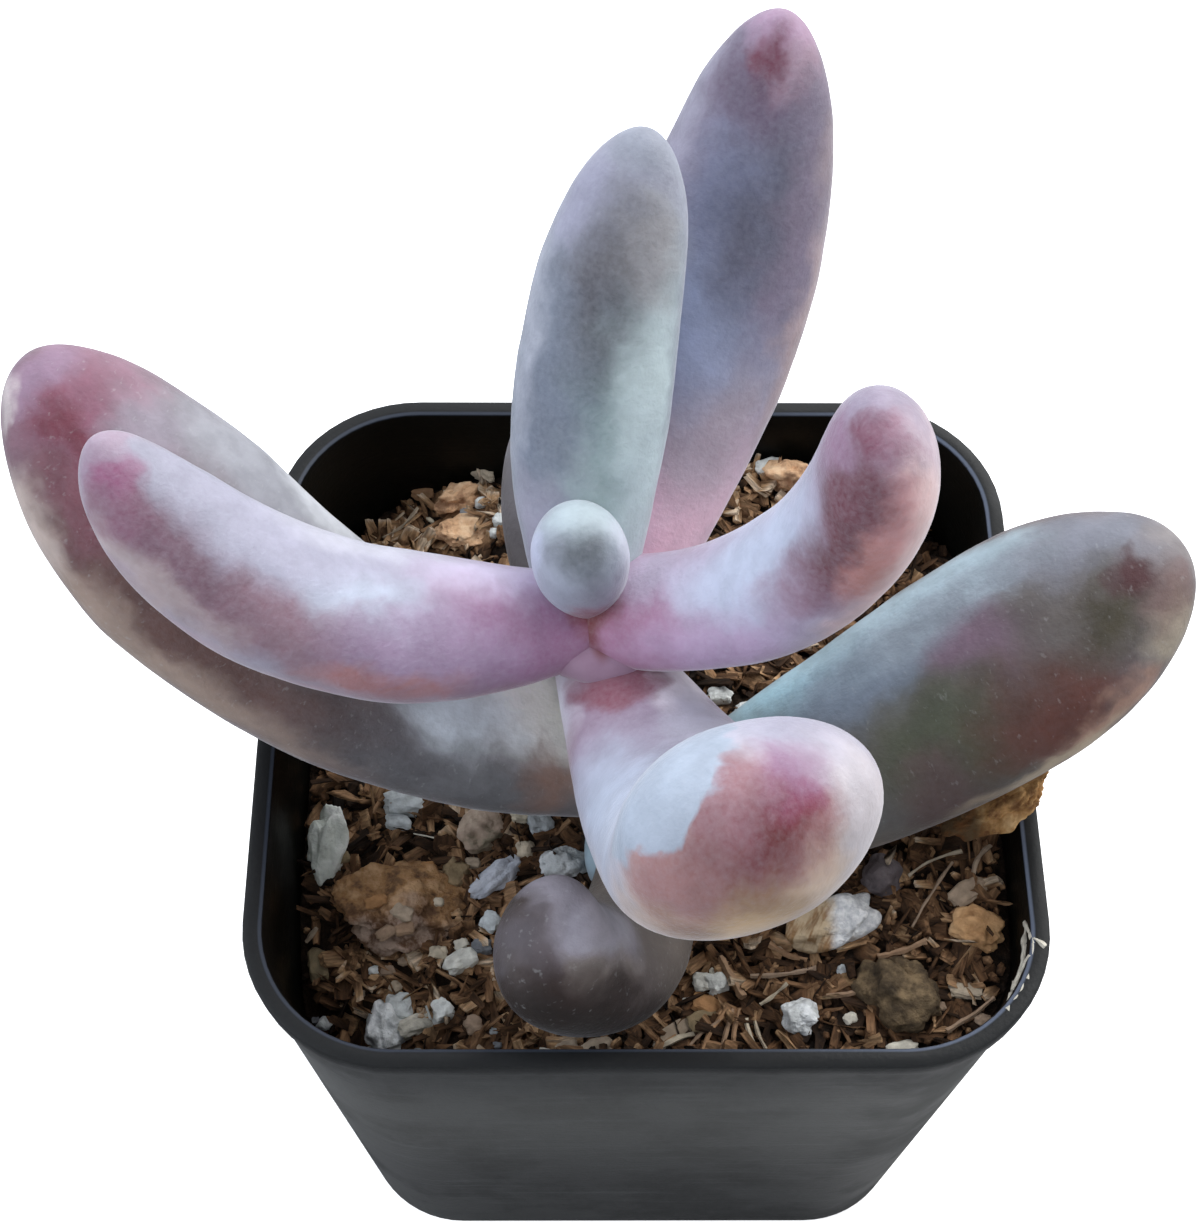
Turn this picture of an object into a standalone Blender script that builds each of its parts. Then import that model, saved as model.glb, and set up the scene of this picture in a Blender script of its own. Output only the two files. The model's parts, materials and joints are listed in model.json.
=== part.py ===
"""A potted pachysedum: plump curving leaves on a short stem, in a square nursery pot.

Lengths are written in millimetres and become metres where a mesh is made.
The origin is the middle of the pot's base, +Z is up, and the viewer stands on the -Y side.
"""

import math
import random
from dataclasses import dataclass

import bmesh
import bpy
from mathutils import Euler, Vector, noise

MM = 0.001
GAP = 0.3  # air kept between pieces that touch

# The pot: a square, tapered shell with rounded corners
POT_HEIGHT = 48.0
BASE_HALF = 22.0
TOP_HALF = 27.1
BASE_CORNER = 8.0
TOP_CORNER = 10.2
WALL = 1.0
FLOOR = 2.2
LIP_OUT = 0.4
LIP_TALL = 1.8
RIM_ROUND = 0.3
FOOT_ROUND = 1.2
FLOOR_ROUND = 1.2  # where the walls meet the floor inside
POINTS_A_CORNER = 7

# Under the pot: a shallow arch in each side and four drain holes
ARCH_WIDE = 14.3
ARCH_SLOPE = 1.2
ARCH_TALL = 0.8
ARCH_DEEP = 5.0
DRAIN_RADIUS = 3.0
DRAIN_OUT = 12.0
DRAIN_SIDES = 20

# The soil: a filled block with an uneven top
SOIL_RINGS = 17
SOIL_WAIST = 20.0  # height of the round of points between its floor and its top
SOIL_CORNER_POINTS = 6
SOIL_FLAT_POINTS = 7
SOIL_MIDDLE = 40.6
SOIL_RISE_RIGHT = 0.09
SOIL_RISE_BACK = 0.02
# Broad mounds and hollows: middle x, middle y, spread x, spread y, height
SOIL_MOUNDS = (
    (2, 26, 14, 8, 1.8),
    (-24, 24, 6, 6, -3.0),
    (24, 24, 7, 8, -5.5),
    (-24, -24, 8, 8, -5.5),
    (-26, 0, 3, 20, -1.0),
    (23, -10, 8, 11, 1.4),
    (-2, -2, 8, 8, 1.0),
    (-4, -17, 8, 6, -2.0),
)
LUMPINESS = ((5.5, 0.75), (3.1, 0.35))  # wavelength and height of the soil's lumps

# Crumbs of bark and grit that are part of the soil's surface
CRUMBS = 46
CRUMB_SEED = 11
CRUMB_REACH = 0.9  # how far out they lie, as a share of the soil's half-width
CRUMB_CLEAR = 0.17  # none lies nearer to the middle than this share
CRUMB_LENGTH = (1.8, 3.6)
CRUMB_WIDTH = (0.35, 0.7)  # width and thickness are shares of the length
CRUMB_THICK = (0.5, 0.8)
CRUMB_TILT = 0.5

# The stem: a short leaning column whose tapered root stands in the soil
STEM_LOW = Vector((-1.0, -2.5, 36.0))
STEM_HIGH = Vector((-2.9, -2.2, 60.0))
STEM_SIDES = 16
STEM_FOOT = 21.2
# Height and radius of each of its rounds
STEM_ROUNDS = (
    (22.0, 0.6),
    (25.0, 1.3),
    (31.0, 2.3),
    (37.0, 3.1),
    (46.0, 3.2),
    (54.0, 3.0),
    (59.0, 2.8),
    (60.6, 2.3),
    (61.5, 1.4),
)
STEM_TIP = 61.9

LOW_LEAVES = 47.0  # leaves rooted below this height rest in hollows of the soil
LEAF_SIDES = 18
LEAF_ROUNDS_LOW = 6
LEAF_ROUNDS_HIGH = 9
STEPS_A_ROUND = 6

BLACK_PLASTIC = (0.035, 0.037, 0.041)
DARK_SOIL = (0.075, 0.042, 0.026)
GREEN_STEM = (0.36, 0.37, 0.27)
BARK_ORANGE = (0.50, 0.24, 0.08)
BARK_BROWN = (0.17, 0.10, 0.055)
PERLITE_WHITE = (0.78, 0.80, 0.78)
STONE_GREY = (0.16, 0.15, 0.15)
STONE_PALE = (0.60, 0.50, 0.38)


@dataclass
class Leaf:
    """One finger-shaped leaf. Angles are degrees, and headings run from +X towards +Y."""

    name: str
    colour: tuple
    root_height: float  # where it leaves the stem
    root_shift: tuple  # from the stem's axis, in x and y
    heading: float
    turn: float  # change of heading from root to tip
    turn_power: float
    climb_root: float
    climb_tip: float
    climb_power: float
    length: float
    half_width: float
    flatness: float  # thickness as a share of the width
    root_share: float  # root's width as a share of the widest
    widest_at: float  # share of the length
    bluntness: float = 2.0


LEAVES = (
    Leaf(
        "leaf_bud", (0.62, 0.68, 0.70), 59.7, (-0.8, 2.7), 182.5, 0.0, 1.0, 80.0, 88.0, 1.0,
        length=11.1, half_width=3.4, flatness=0.96, root_share=0.30, widest_at=0.60, bluntness=2.3,
    ),
    Leaf(
        "leaf_left_high", (0.64, 0.57, 0.68), 60.7, (-0.7, 1.9), 196.1, -57.6, 1.5, 6.9, 61.0, 1.56,
        length=37.95, half_width=5.4, flatness=0.85, root_share=0.58, widest_at=0.40, bluntness=2.66,
    ),
    Leaf(
        "leaf_right_high", (0.66, 0.53, 0.62), 60.9, (-0.5, 2.3), -14.9, 21.1, 1.2, 9.1, 104.4, 0.97,
        length=34.15, half_width=5.23, flatness=0.77, root_share=0.75, widest_at=0.60, bluntness=3.63,
    ),
    Leaf(
        "leaf_front", (0.68, 0.60, 0.66), 57.7, (-0.2, 0.3), 293.0, -2.7, 1.06, -5.4, 113.5, 1.3,
        length=35.9, half_width=8.36, flatness=0.70, root_share=0.44, widest_at=0.78, bluntness=2.8,
    ),
    Leaf(
        "leaf_back_middle", (0.50, 0.53, 0.56), 57.8, (-1.3, 0.3), 95.4, -39.7, 1.31, 44.0, 62.2, 1.0,
        length=36.5, half_width=5.35, flatness=0.82, root_share=0.38, widest_at=0.48, bluntness=2.54,
    ),
    Leaf(
        "leaf_back_tall", (0.46, 0.42, 0.48), 55.0, (-1.1, 1.6), 69.6, -4.9, 0.96, 22.7, 71.6, 1.1,
        length=47.15, half_width=6.9, flatness=0.77, root_share=0.37, widest_at=0.60, bluntness=1.5,
    ),
    Leaf(
        "leaf_back_low", (0.36, 0.36, 0.42), 50.0, (-1.0, 1.5), 103.0, 0.0, 1.0, 12.0, 45.0, 1.0,
        length=22.0, half_width=4.3, flatness=0.85, root_share=0.50, widest_at=0.55, bluntness=2.1,
    ),
    Leaf(
        "leaf_left_low", (0.42, 0.38, 0.42), 46.3, (0.0, -0.3), 185.7, -49.2, 0.78, 16.4, 49.8, 1.09,
        length=51.3, half_width=8.68, flatness=0.72, root_share=0.57, widest_at=0.68, bluntness=1.49,
    ),
    Leaf(
        "leaf_right_low", (0.30, 0.31, 0.29), 41.2, (-1.1, -4.7), -13.0, 36.6, 0.31, 18.4, 34.1, 0.3,
        length=46.3, half_width=8.38, flatness=0.71, root_share=0.45, widest_at=0.68, bluntness=2.02,
    ),
    Leaf(
        "leaf_front_low", (0.30, 0.27, 0.30), 43.1, (0.0, -1.9), 286.5, -122.9, 1.56, -11.1, 78.4, 1.06,
        length=27.7, half_width=5.43, flatness=0.74, root_share=0.30, widest_at=0.85, bluntness=2.78,
    ),
)


@dataclass
class Lump:
    """A stone, a piece of bark or a piece of perlite that lies loose on the soil."""

    name: str
    colour: tuple
    place: tuple  # x and y of its middle
    lift: float  # its middle above the soil
    size: tuple  # along its own x, y and z
    turn: tuple  # degrees about x, y and z
    seed: int


LUMPS = (
    Lump("bark_left", BARK_ORANGE, (-17.4, -11.6), 0.7, (9.0, 6.4, 3.2), (0, 6, 4), 1),
    Lump("bark_front_right", BARK_BROWN, (17.6, -20.0), 0.7, (5.6, 4.6, 2.8), (8, 0, -35), 2),
    Lump("bark_over_rim", BARK_ORANGE, (24.0, -7.6), 4.1, (8.6, 4.6, 1.9), (0, -38, -6), 3),
    Lump("bark_right", BARK_ORANGE, (23.2, -15.6), 0.5, (3.8, 3.0, 1.7), (10, 5, -20), 4),
    Lump("bark_back_left", BARK_ORANGE, (-13.4, 20.6), 0.3, (4.6, 3.2, 1.8), (-12, 8, 10), 5),
    Lump("bark_back_edge", BARK_ORANGE, (-14.2, 23.4), 0.9, (3.6, 2.2, 2.4), (30, 0, 25), 6),
    Lump("bark_back_right", BARK_ORANGE, (12.2, 23.3), 0.8, (4.2, 2.4, 2.4), (25, 0, -12), 7),
    Lump("stone_pale", STONE_PALE, (13.2, -14.6), 1.0, (6.6, 3.8, 3.4), (0, -6, 18), 8),
    Lump("stone_grey", STONE_GREY, (16.9, -11.2), 0.5, (3.0, 2.8, 2.4), (0, 0, 20), 9),
    Lump("perlite_front_right", PERLITE_WHITE, (10.8, -21.2), 0.5, (2.7, 2.4, 2.0), (0, 10, 25), 10),
    Lump("perlite_left_wall", PERLITE_WHITE, (-22.9, -6.8), 1.2, (2.7, 6.0, 2.2), (35, 0, -6), 11),
    Lump("perlite_left_block", PERLITE_WHITE, (-11.6, -6.0), 0.7, (3.4, 3.4, 2.8), (10, 0, 12), 12),
    Lump("perlite_left_long", PERLITE_WHITE, (-10.6, -9.6), 0.5, (4.6, 1.8, 1.7), (0, -8, 38), 13),
    Lump("perlite_middle", PERLITE_WHITE, (-5.7, -8.9), 0.5, (3.3, 2.6, 2.2), (0, 8, 8), 14),
    Lump("perlite_front_left", PERLITE_WHITE, (-18.2, -20.2), 1.0, (2.9, 3.9, 2.8), (12, 0, 8), 15),
)
DENT_DEPTH = 0.32  # dents as a share of the half size
DENT_FINENESS = 1.7


def clear_scene():
    for obj in list(bpy.data.objects):
        bpy.data.objects.remove(obj, do_unlink=True)


def mix(low, high, share):
    return low + (high - low) * share


def material_of(name, colour, roughness=0.6):
    material = bpy.data.materials.new(name)
    material.use_nodes = True
    shader = material.node_tree.nodes["Principled BSDF"]
    shader.inputs["Base Color"].default_value = (*colour, 1.0)
    shader.inputs["Roughness"].default_value = roughness
    return material


def object_of(name, shape, colour=None, roughness=0.6):
    """An object made from a bmesh whose points are in millimetres."""
    bmesh.ops.scale(shape, verts=shape.verts, vec=(MM, MM, MM))
    bmesh.ops.recalc_face_normals(shape, faces=shape.faces)
    bmesh.ops.triangulate(shape, faces=shape.faces)
    mesh = bpy.data.meshes.new(name)
    shape.to_mesh(mesh)
    shape.free()
    mesh.shade_smooth()
    obj = bpy.data.objects.new(name, mesh)
    bpy.context.scene.collection.objects.link(obj)
    if colour:
        mesh.materials.append(material_of(name, colour, roughness))
    return obj


def hide_cutter(obj):
    obj.hide_render = True
    obj.display_type = "WIRE"
    return obj


def apply_modifiers(obj):
    graph = bpy.context.evaluated_depsgraph_get()
    mesh = bpy.data.meshes.new_from_object(obj.evaluated_get(graph))
    obj.modifiers.clear()
    obj.data = mesh


def combine(obj, others, operation, solver="EXACT"):
    """One Boolean of obj with all the others, which are then removed."""
    group = bpy.data.collections.new(obj.name + "_others")
    bpy.context.scene.collection.children.link(group)
    for other in others:
        bpy.context.scene.collection.objects.unlink(other)
        group.objects.link(other)
    modifier = obj.modifiers.new(operation.lower(), "BOOLEAN")
    modifier.operation = operation
    modifier.solver = solver
    modifier.operand_type = "COLLECTION"
    modifier.collection = group
    apply_modifiers(obj)
    for other in others:
        bpy.data.objects.remove(other, do_unlink=True)
    bpy.data.collections.remove(group)


def island_of(start, seen):
    """The vertices joined to this one by edges."""
    island = [start]
    seen.add(start)
    for vert in island:
        for edge in vert.link_edges:
            near = edge.other_vert(vert)
            if near not in seen:
                seen.add(near)
                island.append(near)
    return island


def drop_scraps(obj):
    """Keeps only the piece with the most vertices."""
    shape = bmesh.new()
    shape.from_mesh(obj.data)
    seen = set()
    islands = [island_of(vert, seen) for vert in shape.verts if vert not in seen]
    islands.sort(key=len)
    loose = [vert for island in islands[:-1] for vert in island]
    bmesh.ops.delete(shape, geom=loose, context="VERTS")
    shape.to_mesh(obj.data)
    shape.free()


def rounded_square(half, corner, z, corner_points, flat_points=0):
    """Points round a square with rounded corners, anticlockwise from the middle of its +X side."""
    points = []
    for quarter in range(4):
        square_turn = quarter * math.pi / 2
        flat_end = half - corner
        side = [(half, mix(-flat_end, flat_end, (i + 1) / (flat_points + 1))) for i in range(flat_points)]
        for i in range(corner_points):
            angle = math.pi / 2 * i / (corner_points - 1)
            side.append((flat_end + corner * math.cos(angle), flat_end + corner * math.sin(angle)))
        for x, y in side:
            points.append(
                Vector((
                    x * math.cos(square_turn) - y * math.sin(square_turn),
                    x * math.sin(square_turn) + y * math.cos(square_turn),
                    z,
                ))
            )
    return points


def skin(shape, loops, close_first=True, close_last=True):
    """Quads between successive loops of points, and a face over each end."""
    rows = [[shape.verts.new(point) for point in loop] for loop in loops]
    for low, high in zip(rows, rows[1:]):
        for i in range(len(low)):
            j = (i + 1) % len(low)
            shape.faces.new((low[i], low[j], high[j], high[i]))
    if close_first:
        shape.faces.new(reversed(rows[0]))
    if close_last:
        shape.faces.new(rows[-1])
    return rows


def half_at(z):
    return mix(BASE_HALF, TOP_HALF, z / POT_HEIGHT)


def corner_at(z):
    return mix(BASE_CORNER, TOP_CORNER, z / POT_HEIGHT)


def pot_loop(z, inset):
    return rounded_square(half_at(z) - inset, corner_at(z) - inset, z, POINTS_A_CORNER)


def arch_cutter(quarter):
    """A low block with sloping ends, cut into the foot of one side."""
    shape = bmesh.new()
    block = bmesh.ops.create_cube(shape, size=1.0)["verts"]
    below = 1.0
    for vert in block:
        top = vert.co.z > 0
        wide = ARCH_WIDE / 2 - (ARCH_SLOPE if top else 0.0)
        vert.co.x = math.copysign(wide, vert.co.x)
        vert.co.y = -BASE_HALF + ARCH_DEEP if vert.co.y > 0 else -BASE_HALF - below
        vert.co.z = ARCH_TALL if top else -below
    turn = Euler((0, 0, quarter * math.pi / 2)).to_matrix()
    bmesh.ops.rotate(shape, cent=(0, 0, 0), matrix=turn, verts=shape.verts)
    return hide_cutter(object_of("arch_cutter", shape))


def drain_cutter(x, y):
    shape = bmesh.new()
    bmesh.ops.create_cone(
        shape, cap_ends=True, segments=DRAIN_SIDES, radius1=DRAIN_RADIUS, radius2=DRAIN_RADIUS,
        depth=4 * FLOOR,
    )
    bmesh.ops.translate(shape, verts=shape.verts, vec=(x, y, 0))
    return hide_cutter(object_of("drain_cutter", shape))


def make_pot():
    lip_low = POT_HEIGHT - LIP_TALL
    loops = [
        pot_loop(0.0, FOOT_ROUND),
        pot_loop(FOOT_ROUND / 3, FOOT_ROUND / 3),
        pot_loop(FOOT_ROUND, 0.0),
        pot_loop(lip_low - LIP_OUT, 0.0),
        pot_loop(lip_low, -LIP_OUT),
        pot_loop(POT_HEIGHT - RIM_ROUND, -LIP_OUT),
        pot_loop(POT_HEIGHT, RIM_ROUND - LIP_OUT),
        pot_loop(POT_HEIGHT, WALL - RIM_ROUND),
        pot_loop(POT_HEIGHT - RIM_ROUND, WALL),
        pot_loop(FLOOR + FLOOR_ROUND, WALL),
        pot_loop(FLOOR, WALL + FLOOR_ROUND),
    ]
    shape = bmesh.new()
    skin(shape, loops)
    pot = object_of("pot", shape, BLACK_PLASTIC, 0.45)
    cutters = [arch_cutter(quarter) for quarter in range(4)]
    for x in (-DRAIN_OUT, DRAIN_OUT):
        for y in (-DRAIN_OUT, DRAIN_OUT):
            cutters.append(drain_cutter(x, y))
    combine(pot, cutters, "DIFFERENCE")
    return pot


def soil_height(x, y):
    """Height of the soil's surface, from a tilted plane, mounds and small lumps."""
    height = SOIL_MIDDLE + SOIL_RISE_RIGHT * x + SOIL_RISE_BACK * y
    for middle_x, middle_y, spread_x, spread_y, rise in SOIL_MOUNDS:
        away = ((x - middle_x) / spread_x) ** 2 + ((y - middle_y) / spread_y) ** 2
        height += rise * math.exp(-away)
    for wavelength, rise in LUMPINESS:
        height += rise * noise.noise(Vector((x, y, 0)) / wavelength)
    return height


def soil_loop(z, inset=0.0):
    """The soil's outline at this height, which is the inside of the pot less the gap."""
    inward = WALL + GAP + inset
    return rounded_square(
        half_at(z) - inward, corner_at(z) - inward, z, SOIL_CORNER_POINTS, SOIL_FLAT_POINTS
    )


def soil_edge():
    """The soil's top edge: each point is moved out to where the wall is at its own height."""
    edge = []
    for i, point in enumerate(soil_loop(SOIL_MIDDLE)):
        level = soil_height(point.x, point.y)
        point = soil_loop(level)[i]
        edge.append(Vector((point.x, point.y, level)))
    return edge


def crumb(rng, number):
    """A flat angular crumb, sunk to its middle in the soil."""
    outline = soil_loop(SOIL_MIDDLE)
    edge = outline[rng.randrange(len(outline))]
    place = edge * math.sqrt(rng.uniform(CRUMB_CLEAR ** 2, 1.0)) * CRUMB_REACH
    length = rng.uniform(*CRUMB_LENGTH)
    size = Vector((length, length * rng.uniform(*CRUMB_WIDTH), length * rng.uniform(*CRUMB_THICK)))
    tip_x = rng.uniform(-CRUMB_TILT, CRUMB_TILT)
    tip_y = rng.uniform(-CRUMB_TILT, CRUMB_TILT)
    turn = Euler((tip_x, tip_y, rng.uniform(0, 2 * math.pi))).to_matrix()
    shape = bmesh.new()
    bmesh.ops.create_icosphere(shape, subdivisions=1, radius=0.5)
    bmesh.ops.scale(shape, verts=shape.verts, vec=size)
    bmesh.ops.rotate(shape, cent=(0, 0, 0), matrix=turn, verts=shape.verts)
    level = soil_height(place.x, place.y)
    bmesh.ops.translate(shape, verts=shape.verts, vec=(place.x, place.y, level))
    return object_of(f"crumb_{number}", shape)


def make_soil(cutters):
    edge = soil_edge()
    shape = bmesh.new()
    bottom = FLOOR + GAP
    loops = [soil_loop(bottom, FLOOR_ROUND), soil_loop(bottom + FLOOR_ROUND), soil_loop(SOIL_WAIST), edge]
    for ring in range(1, SOIL_RINGS):
        share = 1 - ring / SOIL_RINGS
        loop = [Vector((point.x * share, point.y * share, 0)) for point in edge]
        for point in loop:
            point.z = soil_height(point.x, point.y)
        loops.append(loop)
    rows = skin(shape, loops, close_last=False)
    middle = shape.verts.new((0, 0, soil_height(0, 0)))
    inner = rows[-1]
    for i, vert in enumerate(inner):
        shape.faces.new((vert, inner[(i + 1) % len(inner)], middle))
    soil = object_of("soil", shape, DARK_SOIL, 0.95)
    rng = random.Random(CRUMB_SEED)
    combine(soil, [crumb(rng, number) for number in range(CRUMBS)], "UNION")
    combine(soil, cutters, "DIFFERENCE")
    drop_scraps(soil)
    return soil


def stem_at(height):
    """The point on the stem's leaning axis at this height."""
    share = (height - STEM_LOW.z) / (STEM_HIGH.z - STEM_LOW.z)
    return STEM_LOW + (STEM_HIGH - STEM_LOW) * share


def make_stem(name="stem", grow=0.0, colour=GREEN_STEM):
    shape = bmesh.new()
    loops = []
    for height, radius in STEM_ROUNDS:
        middle = stem_at(height)
        loop = []
        for i in range(STEM_SIDES):
            angle = 2 * math.pi * i / STEM_SIDES
            out = Vector((math.cos(angle), math.sin(angle), 0)) * (radius + grow)
            loop.append(middle + out)
        loops.append(loop)
    rows = skin(shape, loops, close_first=False, close_last=False)
    foot = shape.verts.new(stem_at(STEM_FOOT - grow))
    tip = shape.verts.new(stem_at(STEM_TIP + grow))
    for i in range(STEM_SIDES):
        j = (i + 1) % STEM_SIDES
        shape.faces.new((rows[0][j], rows[0][i], foot))
        shape.faces.new((rows[-1][i], rows[-1][j], tip))
    return object_of(name, shape, colour, 0.7)


def leaf_direction(leaf, share):
    """Unit vectors along the leaf, across it and out of its upper face."""
    heading = math.radians(leaf.heading + leaf.turn * share ** leaf.turn_power)
    climb = math.radians(mix(leaf.climb_root, leaf.climb_tip, share ** leaf.climb_power))
    along = Vector((
        math.cos(climb) * math.cos(heading),
        math.cos(climb) * math.sin(heading),
        math.sin(climb),
    ))
    across = Vector((math.sin(heading), -math.cos(heading), 0))
    return along, across, across.cross(along)


def leaf_width(leaf, share):
    """Half the width at this share of the length: it swells from the root, then rounds off."""
    if share < leaf.widest_at:
        swell = math.sin(math.pi / 2 * share / leaf.widest_at)
        return leaf.half_width * mix(leaf.root_share, 1.0, swell)
    past = (share - leaf.widest_at) / (1 - leaf.widest_at)
    return leaf.half_width * math.sqrt(max(0.0, 1 - past ** leaf.bluntness))


def leaf_shares(leaf):
    """Where the rounds of points lie along the leaf, closer together towards its tip."""
    low = [leaf.widest_at * i / LEAF_ROUNDS_LOW for i in range(LEAF_ROUNDS_LOW)]
    high = []
    for i in range(LEAF_ROUNDS_HIGH):
        rounding = math.sin(math.pi / 2 * i / LEAF_ROUNDS_HIGH)
        high.append(mix(leaf.widest_at, 1.0, rounding))
    return low + high + [1.0]


def leaf_middles(leaf, shares):
    """Points on the leaf's curved middle line."""
    here = stem_at(leaf.root_height) + Vector((*leaf.root_shift, 0))
    middles = [here.copy()]
    for low, high in zip(shares, shares[1:]):
        step = (high - low) / STEPS_A_ROUND
        for i in range(STEPS_A_ROUND):
            along, _, _ = leaf_direction(leaf, low + (i + 0.5) * step)
            here += along * leaf.length * step
        middles.append(here.copy())
    return middles


def leaf_object(leaf, name, grow=0.0, colour=None):
    shape = bmesh.new()
    shares = leaf_shares(leaf)
    middles = leaf_middles(leaf, shares)
    loops = []
    for share, middle in zip(shares[:-1], middles[:-1]):
        along, across, upward = leaf_direction(leaf, share)
        half_width = leaf_width(leaf, share)
        loop = []
        for i in range(LEAF_SIDES):
            angle = 2 * math.pi * i / LEAF_SIDES
            side = across * math.cos(angle) * (half_width + grow)
            loop.append(middle + side + upward * math.sin(angle) * (half_width * leaf.flatness + grow))
        loops.append(loop)
    rows = skin(shape, loops, close_last=False)
    along, _, _ = leaf_direction(leaf, 1.0)
    tip = shape.verts.new(middles[-1] + along * grow)
    last = rows[-1]
    for i, vert in enumerate(last):
        shape.faces.new((vert, last[(i + 1) % len(last)], tip))
    return object_of(name, shape, colour, 0.55)


def leaf_cutter(leaf):
    return hide_cutter(leaf_object(leaf, leaf.name + "_cutter", GAP))


def make_leaves():
    """Each leaf ends at the stem and gives way to the leaves named before it."""
    for number, leaf in enumerate(LEAVES):
        obj = leaf_object(leaf, leaf.name, colour=leaf.colour)
        cutters = [hide_cutter(make_stem("stem_cutter", GAP, None))]
        cutters += [leaf_cutter(other) for other in LEAVES[:number]]
        combine(obj, cutters, "DIFFERENCE")
        drop_scraps(obj)


def lump_object(lump, name, grow=0.0, colour=None):
    """An irregular rounded block: a ball, squeezed, dented and turned."""
    shape = bmesh.new()
    bmesh.ops.create_icosphere(shape, subdivisions=2, radius=0.5)
    half = Vector(lump.size) / 2
    for vert in shape.verts:
        way = vert.co.normalized()
        dent = 1 + DENT_DEPTH * noise.noise(way * DENT_FINENESS + Vector((lump.seed, lump.seed / 2, 0)))
        out = Vector((way.x * half.x, way.y * half.y, way.z * half.z)) * dent
        vert.co = out + way * grow
    turn = Euler([math.radians(angle) for angle in lump.turn]).to_matrix()
    bmesh.ops.rotate(shape, cent=(0, 0, 0), matrix=turn, verts=shape.verts)
    x, y = lump.place
    level = soil_height(x, y) + lump.lift
    bmesh.ops.translate(shape, verts=shape.verts, vec=(x, y, level))
    return object_of(name, shape, colour, 0.9)


def soil_cutters():
    """Copies a gap larger than everything that stands or rests in the soil."""
    cutters = [make_stem("stem_cutter", GAP, None)]
    for leaf in LEAVES:
        if leaf.root_height < LOW_LEAVES:
            cutters.append(leaf_object(leaf, leaf.name + "_cutter", GAP))
    for lump in LUMPS:
        cutters.append(lump_object(lump, lump.name + "_cutter", GAP))
    return [hide_cutter(cutter) for cutter in cutters]


def main():
    clear_scene()
    make_pot()
    make_soil(soil_cutters())
    make_stem()
    make_leaves()
    for lump in LUMPS:
        lump_object(lump, lump.name, colour=lump.colour)


main()
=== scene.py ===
# %% [markdown]
# # A potted pachysedum
#
# A pachysedum is a small succulent with plump, finger-shaped leaves under a pale powder.
# This one stands in a square nursery pot of bark, coir and perlite. A plain solid model
# of it is loaded first and fixes every size and place. The cells after it make each
# piece again with a finer surface and a material of its own.

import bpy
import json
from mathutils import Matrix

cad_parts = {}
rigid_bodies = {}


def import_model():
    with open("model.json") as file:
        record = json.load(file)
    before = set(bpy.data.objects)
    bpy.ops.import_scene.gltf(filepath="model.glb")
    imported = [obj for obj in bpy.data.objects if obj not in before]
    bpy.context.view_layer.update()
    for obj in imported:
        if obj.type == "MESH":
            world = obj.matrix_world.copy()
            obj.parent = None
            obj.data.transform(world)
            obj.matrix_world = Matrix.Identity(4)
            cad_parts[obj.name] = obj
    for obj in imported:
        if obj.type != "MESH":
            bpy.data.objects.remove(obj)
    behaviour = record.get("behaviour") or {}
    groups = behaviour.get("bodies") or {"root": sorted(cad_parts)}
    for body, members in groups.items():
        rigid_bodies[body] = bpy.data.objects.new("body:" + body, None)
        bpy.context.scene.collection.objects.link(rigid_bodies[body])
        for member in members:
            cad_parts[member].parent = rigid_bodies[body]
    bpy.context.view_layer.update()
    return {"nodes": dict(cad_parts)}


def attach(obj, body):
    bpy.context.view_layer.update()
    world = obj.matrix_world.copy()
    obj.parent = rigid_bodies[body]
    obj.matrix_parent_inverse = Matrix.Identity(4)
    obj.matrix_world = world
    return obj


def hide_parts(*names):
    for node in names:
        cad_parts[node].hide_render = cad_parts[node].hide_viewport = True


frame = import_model()
print("plain model:", len(frame["nodes"]), "nodes")

# %% [markdown]
# ## Measures and small helpers
#
# Lengths are written in millimetres, as a maker would, and become metres when a mesh is
# finished. The origin is the middle of the pot's base. Every new piece rides on the one
# body of the object, and the plain solids that a piece replaces are hidden.

# %% Helpers for numbers and pieces
import json
import math
import random
from dataclasses import dataclass

import bmesh
import bpy
from mathutils import Euler, Matrix, Vector, noise

MM = 0.001
BODY = "root"
scene = bpy.context.scene
noise.seed_set(7)  # without a seed the vector noise changes from run to run


def mix(low, high, share):
    return low + (high - low) * share


def smooth_step(low, high, value):
    share = min(1.0, max(0.0, (value - low) / (high - low)))
    return share * share * (3 - 2 * share)


def rgb(red, green, blue):
    """A colour as a paint chart gives it, from 0 to 255, made linear for the renderer."""
    channels = (red, green, blue)
    return tuple(((c / 255 + 0.055) / 1.055) ** 2.4 if c > 10 else c / 3294.6 for c in channels) + (1.0,)


def as_mesh(shape, name="template", scale=1.0):
    """A mesh of the shape, scaled. The shape is used up."""
    bmesh.ops.scale(shape, vec=(scale, scale, scale), verts=shape.verts)
    mesh = bpy.data.meshes.new(name)
    shape.to_mesh(mesh)
    shape.free()
    return mesh


def in_scene(name, data):
    """A new object of the scene, for a mesh, a light or a camera."""
    thing = bpy.data.objects.new(name, data)
    scene.collection.objects.link(thing)
    return thing


def finish_piece(name, shape, material, nodes=(), smooth=True):
    """Makes a piece from a shape in millimetres. It rides on the body and replaces its nodes."""
    mesh = as_mesh(shape, name, MM)
    if smooth:
        mesh.shade_smooth()
    mesh.materials.append(material)
    piece = in_scene(name, mesh)
    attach(piece, BODY)
    if nodes:
        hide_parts(*nodes)
    print(f"{name}: {len(mesh.polygons)} faces")
    return piece


# %% [markdown]
# ## The camera
#
# The plant was looked at from the front and from well above, so the camera sits high and
# close. The lens is long for that distance, which keeps the pot's sides from spreading.
# Its direction is given by two angles, and the small roll tips the picture a little.

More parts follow.
